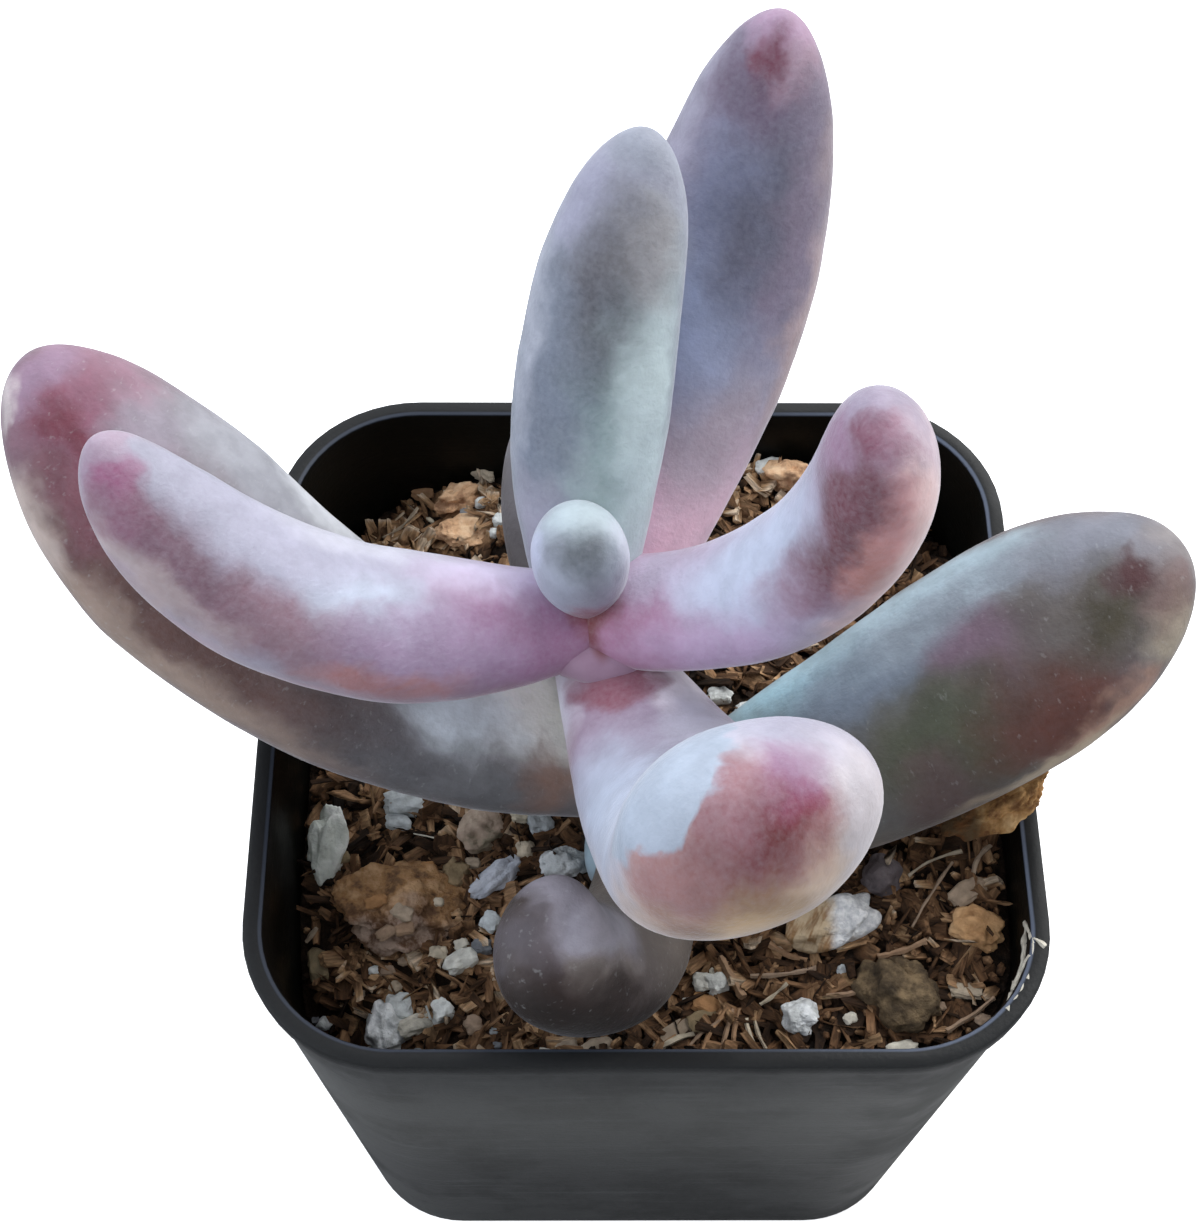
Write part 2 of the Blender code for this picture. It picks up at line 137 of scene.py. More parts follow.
# %% Place the camera
PICTURE = (1200, 1227)
FOCAL_PIXELS = 2416.0
SENSOR = 36.0
LOOK_AT = Vector((-3.062, 7.852, 48.0))
CAMERA_DISTANCE = 177.47
ELEVATION = math.radians(57.435)
AZIMUTH = math.radians(-1.081)
ROLL = math.radians(0.971)

back = Vector((
    math.sin(AZIMUTH) * math.cos(ELEVATION),
    -math.cos(AZIMUTH) * math.cos(ELEVATION),
    math.sin(ELEVATION),
))
level_right = (-back).cross(Vector((0, 0, 1))).normalized()
level_up = level_right.cross(-back)
right = level_right * math.cos(ROLL) + level_up * math.sin(ROLL)
up = level_up * math.cos(ROLL) - level_right * math.sin(ROLL)

camera_data = bpy.data.cameras.new("camera")
camera_data.sensor_width = SENSOR
camera_data.lens = FOCAL_PIXELS / max(PICTURE) * SENSOR
camera_data.clip_start = 0.01
camera_data.clip_end = 20.0
camera = in_scene("camera", camera_data)
camera.matrix_world = Matrix.Translation((LOOK_AT + back * CAMERA_DISTANCE) * MM) @ Matrix(
    (right, up, back)
).transposed().to_4x4()
scene.camera = camera
print("lens:", round(camera_data.lens, 1), "mm")

# %% [markdown]
# ## Nodes in a few words
#
# A material is a small network of nodes. These helpers add one node each and hand back
# the socket that comes out of it, so that a network reads like a sum. An effect that more
# than one material uses is built once, as a node group, further down.

# %% Helpers for materials


def add(tree, kind, inputs=None, **settings):
    """One node. An input is a number, a colour or a socket of another node."""
    node = tree.nodes.new("ShaderNode" + kind)
    for name, value in settings.items():
        setattr(node, name, value)
    for name, value in (inputs or {}).items():
        if isinstance(value, bpy.types.NodeSocket):
            tree.links.new(value, node.inputs[name])
        else:
            node.inputs[name].default_value = value
    return node


def calc(tree, operation, first, second=0.0, clamp=False):
    return add(tree, "Math", {0: first, 1: second}, operation=operation, use_clamp=clamp).outputs[0]


def vector_calc(tree, operation, first, second=(0, 0, 0)):
    return add(tree, "VectorMath", {0: first, 1: second}, operation=operation).outputs["Vector"]


def times(tree, first, second):
    return calc(tree, "MULTIPLY", first, second)


def plus(tree, first, second):
    return calc(tree, "ADD", first, second)


def stretched(tree, place, factors):
    """The place with each of its three numbers multiplied by its own factor."""
    return vector_calc(tree, "MULTIPLY", place, factors)


def part(tree, place, axis):
    """One of the place's three numbers."""
    return add(tree, "SeparateXYZ", {0: place}).outputs[axis]


def blend(tree, share, first, second, way="MIX"):
    """Two colours mixed."""
    node = add(tree, "Mix", {0: share, 6: first, 7: second}, data_type="RGBA", blend_type=way)
    return node.outputs[2]


def between(tree, value, low, high, to_low=0.0, to_high=1.0):
    """The value eased from one range to another."""
    inputs = {"Value": value, "From Min": low, "From Max": high, "To Min": to_low, "To Max": to_high}
    return add(tree, "MapRange", inputs, interpolation_type="SMOOTHSTEP").outputs["Result"]


def grey(tree, value):
    """A grey as bright as the value."""
    return add(tree, "CombineColor", {0: value, 1: value, 2: value}).outputs[0]


def mottle(tree, place, size, detail=3.0, roughness=0.55):
    """Soft random values, in patches of about this size in millimetres."""
    inputs = {"Vector": place, "Scale": 1 / size, "Detail": detail, "Roughness": roughness}
    return add(tree, "TexNoise", inputs).outputs["Fac"]


def in_millimetres(tree):
    """Object coordinates, in millimetres."""
    place = add(tree, "TexCoord").outputs["Object"]
    node = add(tree, "VectorMath", {0: place, "Scale": 1 / MM}, operation="SCALE")
    return node.outputs["Vector"]


def own_place(tree, name):
    """A place that was stored in the piece's own mesh, in millimetres."""
    return add(tree, "Attribute", attribute_name=name).outputs["Vector"]


def new_material(name, **plain):
    """A material whose plain numbers are set on the shader's own sockets."""
    material = bpy.data.materials.new(name)
    material.use_nodes = True
    shader = material.node_tree.nodes["Principled BSDF"]
    for socket, value in plain.items():
        shader.inputs[socket.replace("_", " ")].default_value = value
    return material, material.node_tree, shader


def connect(tree, shader, colour, roughness=None, height=None, depth=0.1):
    """Joins a colour, a roughness and a relief to the shader. The depth is in millimetres."""
    tree.links.new(colour, shader.inputs["Base Color"])
    if roughness is not None:
        tree.links.new(roughness, shader.inputs["Roughness"])
    if height is not None:
        relief = add(tree, "Bump", {"Height": height, "Distance": depth * MM, "Strength": 1.0})
        tree.links.new(relief.outputs["Normal"], shader.inputs["Normal"])


# %% [markdown]
# ## Effects that several materials share
#
# A *soft patch* is a blush, a rubbed place, a spot or a patch of painted light or shade: it
# fades with the distance from a middle, which is measured with a different reach in each
# direction. *Powder grain* is the fine uneven cover of the leaves' bloom, and of dust on
# plastic and stone.

# %% Node groups


def new_group(name, inputs, output):
    """A group with the named inputs, as (name, kind, default), and one float output."""
    tree = bpy.data.node_groups.new(name, "ShaderNodeTree")
    for title, kind, default in inputs:
        socket = tree.interface.new_socket(name=title, in_out="INPUT", socket_type="NodeSocket" + kind)
        socket.default_value = default
    tree.interface.new_socket(name=output, in_out="OUTPUT", socket_type="NodeSocketFloat")
    return tree, tree.nodes.new("NodeGroupInput").outputs, tree.nodes.new("NodeGroupOutput").inputs


def soft_patch_group():
    tree, given, out = new_group(
        "soft_patch",
        (
            ("Place", "Vector", (0, 0, 0)),
            ("Centre", "Vector", (0, 0, 0)),
            ("Reach", "Vector", (1, 1, 1)),
            ("Softness", "Float", 0.5),
            ("Strength", "Float", 1.0),
        ),
        "Mask",
    )
    away = vector_calc(tree, "SUBTRACT", given["Place"], given["Centre"])
    away = vector_calc(tree, "DIVIDE", away, given["Reach"])
    distance = add(tree, "VectorMath", {0: away}, operation="LENGTH").outputs["Value"]
    inner = calc(tree, "SUBTRACT", 1.0, given["Softness"])
    outer = plus(tree, 1.0, given["Softness"])
    mask = between(tree, distance, inner, outer, 1.0, 0.0)
    tree.links.new(times(tree, mask, given["Strength"]), out["Mask"])
    return tree


def powder_grain_group():
    tree, given, out = new_group(
        "powder_grain",
        (("Place", "Vector", (0, 0, 0)), ("Grain", "Float", 0.3), ("Contrast", "Float", 0.5)),
        "Mask",
    )
    scale = calc(tree, "DIVIDE", 1.0, given["Grain"])
    inputs = {"Vector": given["Place"], "Scale": scale, "Detail": 4.0, "Roughness": 0.6}
    fine = add(tree, "TexNoise", inputs).outputs["Fac"]
    centred = calc(tree, "SUBTRACT", fine, 0.5)
    spread = times(tree, centred, times(tree, given["Contrast"], 4.0))
    tree.links.new(calc(tree, "ADD", spread, 0.5, clamp=True), out["Mask"])
    return tree


SOFT_PATCH = soft_patch_group()
POWDER_GRAIN = powder_grain_group()


def use_group(tree, group, inputs):
    """The group's one output, with its inputs set or joined."""
    return add(tree, "Group", inputs, node_tree=group).outputs[0]


WAVERS = ((4.5, 2.4), (0.9, 0.5))  # size and reach of the shifts, in millimetres


def wavered(tree, place):
    """The place shifted a little this way and that, which makes the edges of patches uneven."""
    for size, amount in WAVERS:
        inputs = {"Vector": place, "Scale": 1 / size, "Detail": 2.0}
        shift = add(tree, "TexNoise", inputs).outputs["Color"]
        shift = vector_calc(tree, "SUBTRACT", shift, (0.5, 0.5, 0.5))
        shift = stretched(tree, shift, (amount * 2, amount * 2, amount * 2))
        place = vector_calc(tree, "ADD", place, shift)
    return place


# %% [markdown]
# ## The room
#
# The plant stands on a plain pale floor. Most of the light comes softly from behind and
# above, as from a window, so the leaves glow along their upper edges and are darker on
# the side that faces the viewer. A weaker panel stands at the left, and a soft spot keeps
# the shade at the crown open.

# %% Floor
FLOOR_SIZE = 3000.0
FLOOR_PALE = rgb(250, 250, 250)

FLOOR_BOUNCE = rgb(150, 150, 150)  # what the floor throws back at the plant, as a matt table would
FLOOR_GLOW = 0.7  # keeps the pot's shadow on the paper faint

floor_material, floor_tree, floor_shader = new_material(
    "floor_paper", Roughness=0.9, Emission_Color=rgb(255, 255, 255)
)
floor_cloud = mottle(floor_tree, in_millimetres(floor_tree), 60.0)
floor_seen = blend(floor_tree, floor_cloud, FLOOR_PALE, rgb(247, 247, 248))
seen = add(floor_tree, "LightPath").outputs["Is Camera Ray"]
connect(floor_tree, floor_shader, blend(floor_tree, seen, FLOOR_BOUNCE, floor_seen))
floor_glow = times(floor_tree, seen, FLOOR_GLOW)
floor_tree.links.new(floor_glow, floor_shader.inputs["Emission Strength"])
floor_shape = bmesh.new()
bmesh.ops.create_grid(floor_shape, x_segments=8, y_segments=8, size=FLOOR_SIZE / 2)
floor = in_scene("floor", as_mesh(floor_shape, "floor", MM))
floor.data.materials.append(floor_material)
print("floor:", FLOOR_SIZE, "mm wide")

# %% Light
scene.view_settings.view_transform = "Standard"
SKY = (0.90, 0.94, 1.0, 1.0)
SKY_STRENGTH = 1.4
SHADED_STRENGTH = 0.45  # straight above the viewer, who keeps some of the light off

world = bpy.data.worlds.new("studio")
world.use_nodes = True
sky = world.node_tree
sky_way = add(sky, "TexCoord").outputs["Generated"]
to_viewer = add(sky, "VectorMath", {0: sky_way, 1: back}, operation="DOT_PRODUCT").outputs["Value"]
sky_light = between(sky, to_viewer, 0.1, 1.0, SKY_STRENGTH, SHADED_STRENGTH)
sky.nodes["Background"].inputs["Color"].default_value = SKY
sky.links.new(sky_light, sky.nodes["Background"].inputs["Strength"])
scene.world = world


def new_light(name, kind, power, place, facing, **settings):
    """A light of so many watts at the place, in metres. Facing points to it from what it lights."""
    data = bpy.data.lights.new(name, kind)
    data.energy = power
    for setting, value in settings.items():
        setattr(data, setting, value)
    turn = facing.to_track_quat("Z", "Y").to_matrix().to_4x4()
    in_scene(name, data).matrix_world = Matrix.Translation(place) @ turn


PLANT = Vector((0, 0, 0.05))  # this and the two windows in metres
WINDOW = Vector((0.55, 0.55, 0.75))
LEFT_WINDOW = Vector((-0.85, -0.15, 0.55))
CROWN = Vector((-6.5, -6.0, 54.0))  # in millimetres, as is the distance
SPOT_DISTANCE = 600.0

new_light(
    "window", "AREA", 11.0, WINDOW, WINDOW - PLANT, shape="SQUARE", size=0.9, color=(1.0, 0.99, 0.97),
)
new_light(
    "window_left", "AREA", 5.0, LEFT_WINDOW, LEFT_WINDOW - PLANT,
    shape="SQUARE", size=0.7, color=(0.82, 0.89, 1.0),
)
new_light(
    "crown_fill", "SPOT", 5.0, (CROWN + back * SPOT_DISTANCE) * MM, back,
    spot_size=math.radians(4.6), spot_blend=1.0, shadow_soft_size=0.05,
)

# %% [markdown]
# ## The pot's shape
#
# The pot is one thin tapered shell. It is square with rounded corners, and a lip stands
# out a little round its rim. The outline is laid once as a ring of points, and the ring
# is extruded up the outside, over the rim and down the inside. The arches under its
# sides and the drain holes are then cut out.

# %% Measures of the pot
POT_HEIGHT = 48.0
BASE_HALF = 22.0
TOP_HALF = 27.1
BASE_CORNER = 8.0
TOP_CORNER = 10.2
WALL = 1.0
FLOOR_TOP = 2.2
LIP_OUT = 0.4
LIP_TALL = 1.8


def half_at(z):
    return mix(BASE_HALF, TOP_HALF, z / POT_HEIGHT)


def corner_at(z):
    return mix(BASE_CORNER, TOP_CORNER, z / POT_HEIGHT)


def rounded_square(half, corner, z, corner_points=14, flat_points=10):
    """Points round a square with rounded corners, anticlockwise from its +X side."""
    flat_end = half - corner
    side = [(half, mix(-flat_end, flat_end, (i + 1) / (flat_points + 1))) for i in range(flat_points)]
    for i in range(corner_points):
        angle = math.pi / 2 * i / (corner_points - 1)
        side.append((flat_end + corner * math.cos(angle), flat_end + corner * math.sin(angle)))
    quarters = [Matrix.Rotation(math.pi / 2 * quarter, 3, "Z") for quarter in range(4)]
    return [turn @ Vector((x, y, z)) for turn in quarters for x, y in side]


def pot_ring(z, inset):
    return rounded_square(half_at(z) - inset, corner_at(z) - inset, z)


# %% Extrude rings into a shell


def first_ring(shape, points):
    ring = bmesh.ops.create_circle(shape, segments=len(points), radius=1.0)["verts"]
    for vert, point in zip(ring, points):
        vert.co = point
    return ring


def next_ring(shape, ring, points):
    """Extrudes a closed ring and moves each new vertex to its point."""
    ahead = dict(zip(ring, ring[1:] + ring[:1]))
    edges = [edge for edge in dict.fromkeys(e for vert in ring for e in vert.link_edges)
             if ahead.get(edge.verts[0]) is edge.verts[1] or ahead.get(edge.verts[1]) is edge.verts[0]]
    made = bmesh.ops.extrude_edge_only(shape, edges=edges)["geom"]
    fresh = {item for item in made if isinstance(item, bmesh.types.BMVert)}
    raised = []
    for vert, point in zip(ring, points):
        above = next(e.other_vert(vert) for e in vert.link_edges if e.other_vert(vert) in fresh)
        above.co = point
        raised.append(above)
    return raised


def face_outwards(shape):
    """Turns every face of a closed shape outwards."""
    bmesh.ops.recalc_face_normals(shape, faces=shape.faces)
    if shape.calc_volume(signed=True) < 0:
        bmesh.ops.reverse_faces(shape, faces=shape.faces)
    shape.normal_update()


def lofted(rings):
    """A closed shape through the rings, with a face over each end."""
    shape = bmesh.new()
    ring = first_ring(shape, rings[0])
    ends = [ring]
    for points in rings[1:]:
        ring = next_ring(shape, ring, points)
    ends.append(ring)
    for end in ends:
        bmesh.ops.contextual_create(shape, geom=end)
    bmesh.ops.recalc_face_normals(shape, faces=shape.faces)
    return shape


# %% [markdown]
# ## Black plastic
#
# Nursery pots are pressed from thin black polypropylene. It has a low satin gloss, and
# handling leaves faint level scuffs and a grey film of dust, mostly on the outside.
# Inside, the wall is the black of the plastic painted darker still, as painted shade.

# %% Pot material


def from_wall(tree, place):
    """How far a place is outside the pot's outer wall, in millimetres. Inside it is negative."""
    parts = add(tree, "SeparateXYZ", {0: place})
    height = parts.outputs["Z"]
    flat_low, flat_high = BASE_HALF - BASE_CORNER, TOP_HALF - TOP_CORNER
    flat = plus(tree, times(tree, height, (flat_high - flat_low) / POT_HEIGHT), flat_low)
    corner = times(tree, height, (TOP_CORNER - BASE_CORNER) / POT_HEIGHT)
    corner = plus(tree, corner, BASE_CORNER)
    past = [calc(tree, "SUBTRACT", calc(tree, "ABSOLUTE", parts.outputs[axis]), flat) for axis in "XY"]
    squares = [calc(tree, "POWER", calc(tree, "MAXIMUM", value, 0.0), 2.0) for value in past]
    outside = calc(tree, "SQRT", plus(tree, *squares))
    inside = calc(tree, "MINIMUM", calc(tree, "MAXIMUM", *past), 0.0)
    return calc(tree, "SUBTRACT", plus(tree, outside, inside), corner)


BELLY_BELOW, BELLY_ABOVE = (12.0, 34.0), (45.0, 36.0)  # heights over which the paler middle fades
INNER_FACE = (-0.55, -0.85)  # how far within the outer wall the inner face, darkened as painted shade, begins
RIM_HIGHLIGHT = (47.78, 47.92)  # heights over which the painted highlight on the inner edge of the rim shows
HIGHLIGHT_DEPTH = (-0.62, -0.8)
HIGHLIGHT_ACROSS = (6.0, 24.0, 0.35, 0.95)  # the painted highlight is stronger towards the right


def pot_plastic():
    material, tree, shader = new_material("pot_plastic", Specular_IOR_Level=0.35)
    place = in_millimetres(tree)
    height = part(tree, place, "Z")
    level = stretched(tree, place, (0.16, 0.16, 2.2))
    scuffs = between(tree, mottle(tree, level, 1.6, 5.0, 0.65), 0.48, 0.78)
    film = between(tree, mottle(tree, place, 9.0, 4.0), 0.35, 0.75)
    grain = use_group(tree, POWDER_GRAIN, {"Place": place, "Grain": 0.35, "Contrast": 0.5})
    colour = blend(tree, times(tree, film, 0.5), rgb(20, 20, 20), rgb(32, 32, 32))
    belly = times(tree, between(tree, height, *BELLY_BELOW), between(tree, height, *BELLY_ABOVE))
    colour = blend(tree, belly, colour, rgb(69, 69, 67))
    colour = blend(tree, times(tree, scuffs, 0.35), colour, rgb(96, 98, 98))
    colour = blend(tree, times(tree, grain, 0.12), colour, rgb(122, 122, 120))
    on_lip = between(tree, height, POT_HEIGHT - LIP_TALL - 0.4, POT_HEIGHT - 0.6)
    colour = blend(tree, times(tree, on_lip, 0.9), colour, rgb(33, 34, 35))
    wall = from_wall(tree, place)
    within = between(tree, wall, *INNER_FACE)
    # Partly painted shade: the inner face is the plastic's own black, made darker still because it lies in
    # the pot's shade.
    colour = blend(tree, within, colour, rgb(10, 10, 8))
    # Painted highlight: a blue-grey line on the inner edge of the rim, standing in for the reflection of the
    # sky.
    rightward = part(tree, place, "X")
    edge = times(tree, between(tree, height, *RIM_HIGHLIGHT), between(tree, wall, *HIGHLIGHT_DEPTH))
    edge = times(tree, edge, between(tree, rightward, *HIGHLIGHT_ACROSS))
    colour = blend(tree, edge, colour, rgb(92, 100, 116))
    roughness = between(tree, film, 0.0, 1.0, 0.34, 0.56)
    connect(tree, shader, colour, roughness, plus(tree, scuffs, grain), 0.015)
    on_side = times(tree, calc(tree, "SUBTRACT", 1.0, within), calc(tree, "SUBTRACT", 1.0, on_lip))
    tree.links.new(between(tree, on_side, 0.0, 1.0, 0.14, 0.4), shader.inputs["Specular IOR Level"])
    return material


# %% Make the pot
RIM_ROUND = 0.3
FOOT_ROUND = 1.2
ARCH_WIDE = 14.3
ARCH_SLOPE = 1.2
ARCH_TALL = 0.8
ARCH_DEEP = 5.0
DRAIN_RADIUS = 3.0
DRAIN_OUT = 12.0
CUTTER_PAST = 1.0  # how far a cutter runs past the pot


def pot_shape():
    """The rows are the height and the inset of each ring, up the outside and down the inside."""
    lip_low = POT_HEIGHT - LIP_TALL
    rows = [
        (0.0, FOOT_ROUND), (0.12, 0.75), (FOOT_ROUND / 3, FOOT_ROUND / 3), (0.8, 0.12), (FOOT_ROUND, 0.0),
        (14.0, 0.0), (30.0, 0.0), (lip_low - LIP_OUT - 0.1, 0.0), (lip_low - LIP_OUT, -0.03),
        (lip_low - 0.05, 0.03 - LIP_OUT), (lip_low + 0.08, -LIP_OUT), (POT_HEIGHT - RIM_ROUND, -LIP_OUT),
        (POT_HEIGHT - 0.09, 0.09 - LIP_OUT), (POT_HEIGHT, RIM_ROUND - LIP_OUT),
        (POT_HEIGHT, WALL - RIM_ROUND), (POT_HEIGHT - 0.09, WALL - 0.09), (POT_HEIGHT - RIM_ROUND, WALL),
        (30.0, WALL), (14.0, WALL), (FLOOR_TOP + 1.2, WALL), (FLOOR_TOP + 0.35, WALL + 0.35),
        (FLOOR_TOP, WALL + 1.2),
    ]
    return lofted([pot_ring(z, inset) for z, inset in rows])


def arch_shape(quarter):
    """A low block with sloping ends, which cuts the arch under one side."""
    shape = bmesh.new()
    for vert in bmesh.ops.create_cube(shape, size=1.0)["verts"]:
        top = vert.co.z > 0
        vert.co.x = math.copysign(ARCH_WIDE / 2 - (ARCH_SLOPE if top else 0.0), vert.co.x)
        vert.co.y = -BASE_HALF + ARCH_DEEP if vert.co.y > 0 else -BASE_HALF - CUTTER_PAST
        vert.co.z = ARCH_TALL if top else -CUTTER_PAST
    turn = Matrix.Rotation(math.pi / 2 * quarter, 3, "Z")
    bmesh.ops.rotate(shape, cent=(0, 0, 0), matrix=turn, verts=shape.verts)
    return shape


def drain_shape(x, y):
    shape = bmesh.new()
    bmesh.ops.create_cone(
        shape, cap_ends=True, segments=40, radius1=DRAIN_RADIUS, radius2=DRAIN_RADIUS, depth=4 * FLOOR_TOP,
        matrix=Matrix.Translation((x, y, 0)),
    )
    return shape


def cut(piece, shapes):
    """Takes the shapes, in millimetres, out of the piece with one Boolean, and applies it."""
    cutters = bpy.data.collections.new("cutters")
    for shape in shapes:
        cutters.objects.link(bpy.data.objects.new("cutter", as_mesh(shape, "cutter", MM)))
    scene.collection.children.link(cutters)
    modifier = piece.modifiers.new("cut", "BOOLEAN")
    modifier.operand_type = "COLLECTION"
    modifier.collection = cutters
    modifier.solver = "EXACT"
    graph = bpy.context.evaluated_depsgraph_get()
    mesh = bpy.data.meshes.new_from_object(piece.evaluated_get(graph))
    piece.modifiers.clear()
    piece.data = mesh
    for cutter in list(cutters.objects):
        bpy.data.objects.remove(cutter, do_unlink=True)
    bpy.data.collections.remove(cutters)
    print(f"{piece.name} after cutting: {len(mesh.polygons)} faces")


pot = finish_piece("square_pot", pot_shape(), pot_plastic(), ["pot"])
holes = [drain_shape(x, y) for x in (-DRAIN_OUT, DRAIN_OUT) for y in (-DRAIN_OUT, DRAIN_OUT)]
cut(pot, [arch_shape(quarter) for quarter in range(4)] + holes)
pot.data.set_sharp_from_angle(angle=math.radians(35))

# %% [markdown]
# ## The soil's surface
#
# The potting mix is a filled block with an uneven top. Its top is a fine grid, pressed
# into the pot's outline and lifted to the same mounds and hollows as the plain solid,
# with small clods on them. The sides and the bottom are extruded down from its edge.

# %% The height of the soil
SOIL_MIDDLE = 40.6
SOIL_RISE_RIGHT = 0.09
SOIL_RISE_BACK = 0.02
# Broad mounds and hollows: middle x, middle y, spread x, spread y, height
SOIL_MOUNDS = (
    (2, 26, 14, 8, 1.8), (-24, 24, 6, 6, -3.0), (24, 24, 7, 8, -5.5), (-24, -24, 8, 8, -5.5),
    (-26, 0, 3, 20, -1.0), (23, -10, 8, 11, 1.4), (-2, -2, 8, 8, 1.0), (-4, -17, 8, 6, -2.0),
)
LUMPINESS = ((5.5, 0.75), (3.1, 0.35))  # wavelength and height of the soil's lumps
CLODS = ((1.9, 0.50), (0.9, 0.30), (0.45, 0.14))
CLOD_SINK = 0.25
CLOD_SLICE = 3.7  # where the noise of the clods is cut


def soil_height(x, y):
    height = SOIL_MIDDLE + SOIL_RISE_RIGHT * x + SOIL_RISE_BACK * y
    for middle_x, middle_y, spread_x, spread_y, rise in SOIL_MOUNDS:
        away = ((x - middle_x) / spread_x) ** 2 + ((y - middle_y) / spread_y) ** 2
        height += rise * math.exp(-away)
    for wavelength, rise in LUMPINESS:
        height += rise * noise.noise(Vector((x, y, 0)) / wavelength)
    return height


def clod_height(x, y):
    return sum(rise * noise.noise(Vector((x, y, CLOD_SLICE)) / size) for size, rise in CLODS) - CLOD_SINK


# %% Press a grid into the pot
SOIL_GRID = 210
SOIL_CLEAR = 0.06
SIDE_CLEAR = 0.3
# Heights of the rings down the soil's side, and how much further in each one is
SIDE_RINGS = ((30.0, 0.0), (FLOOR_TOP + 1.5, 0.0), (FLOOR_TOP + 0.3, 1.2))


def outline_reach(way, half, corner):
    """How far the outline of a rounded square is from its middle, in this direction."""
    x, y = sorted((abs(way.x), abs(way.y)), reverse=True)
    if y / x <= (half - corner) / half:
        return half / x
    along = (half - corner) * (x + y)
    return along + math.sqrt(along ** 2 - 2 * (half - corner) ** 2 + corner ** 2)


def pressed(u, v, margin):
    """The place in the pot of a point of a square from -1 to 1, on the soil."""
    way = Vector((u, v, 0))
    if way.length < 1e-6:
        return Vector((0, 0, soil_height(0, 0)))
    share = max(abs(u), abs(v))
    way.normalize()
    level = SOIL_MIDDLE
    for _ in range(2):
        inset = WALL + margin
        place = way * share * outline_reach(way, half_at(level) - inset, corner_at(level) - inset)
        level = soil_height(place.x, place.y)
    place.z = level
    return place


def soil_shape():
    shape = bmesh.new()
    bmesh.ops.create_grid(shape, x_segments=SOIL_GRID, y_segments=SOIL_GRID, size=1.0)
    for vert in shape.verts:
        vert.co = pressed(vert.co.x, vert.co.y, SOIL_CLEAR)
        vert.co.z += clod_height(vert.co.x, vert.co.y)
    for level, shrink in SIDE_RINGS:
        inset = WALL + SIDE_CLEAR + shrink
        edges = [edge for edge in shape.edges if edge.is_boundary]
        made = bmesh.ops.extrude_edge_only(shape, edges=edges)["geom"]
        for vert in (item for item in made if isinstance(item, bmesh.types.BMVert)):
            way = Vector((vert.co.x, vert.co.y, 0)).normalized()
            vert.co = way * outline_reach(way, half_at(level) - inset, corner_at(level) - inset)
            vert.co.z = level
    bmesh.ops.holes_fill(shape, edges=[edge for edge in shape.edges if edge.is_boundary], sides=0)
    bmesh.ops.recalc_face_normals(shape, faces=shape.faces)
    return shape


# %% [markdown]
# ## Dark mix
#
# Between the bits of bark the mix is nearly black, because little light reaches down
# there. It is a damp fine crumb, so its colour changes from grain to grain.

# %% Soil material and piece


def dark_mix():
    material, tree, shader = new_material("dark_mix", Roughness=0.9, Specular_IOR_Level=0.2)
    place = in_millimetres(tree)
    broad = mottle(tree, place, 2.6, 4.0, 0.6)
    grain = use_group(tree, POWDER_GRAIN, {"Place": place, "Grain": 0.4, "Contrast": 0.9})
    colour = blend(tree, between(tree, broad, 0.35, 0.7), rgb(12, 8, 5), rgb(42, 30, 21))
    colour = blend(tree, times(tree, grain, 0.2), colour, rgb(88, 70, 55))
    connect(tree, shader, colour, None, grain, 0.12)
    return material


finish_piece("potting_mix", soil_shape(), dark_mix(), ["soil"])

# %% [markdown]
# ## Bark and coir
#
# What shows of the mix is mostly loose: flat chips of bark, shreds of coconut husk and
# thin wiry fibres, each lying its own way. A few simple templates are copied by a seeded
# rule and bent, tapered and dented one by one. Each bit keeps a shade and its own
# coordinates in the mesh, so that its colour and grain go with it.

# %% Lay many copies of a template
BATCH = 5000  # vertices, after which a batch of copies is put with the rest


def shred_template():
    """A block with a vertex in the middle of each edge and side."""
    shape = bmesh.new()
    bmesh.ops.create_cube(shape, size=1.0)
    bmesh.ops.subdivide_edges(shape, edges=shape.edges, cuts=1, use_grid_fill=True)
    return shape


def fibre_template(cuts=7):
    """A thin five-sided rod along X, with rings to bend it at."""
    shape = bmesh.new()
    turn = Matrix.Rotation(math.pi / 2, 4, "Y")
    bmesh.ops.create_cone(shape, cap_ends=True, segments=5, radius1=0.5, radius2=0.5, depth=1.0, matrix=turn)
    long_edges = [edge for edge in shape.edges if abs(edge.verts[0].co.x - edge.verts[1].co.x) > 0.5]
    bmesh.ops.subdivide_edges(shape, edges=long_edges, cuts=cuts)
    return shape


def with_marks():
    """An empty bmesh that stores each bit's shade and its own coordinates."""
    shape = bmesh.new()
    shape.verts.layers.float.new("shade")
    shape.verts.layers.float_vector.new("own")
    return shape


def laid(count, template, lay):
    """Copies of the template, each shaped and placed by lay(number, verts, shade, own)."""
    whole, batch = with_marks(), with_marks()
    for number in range(count):
        first = len(batch.verts)
        batch.from_mesh(template)
        batch.verts.ensure_lookup_table()
        layers = batch.verts.layers
        lay(number, batch.verts[first:], layers.float["shade"], layers.float_vector["own"])
        if len(batch.verts) > BATCH or number == count - 1:
            whole.from_mesh(as_mesh(batch, "batch"))
            batch = with_marks()
    batch.free()
    return whole


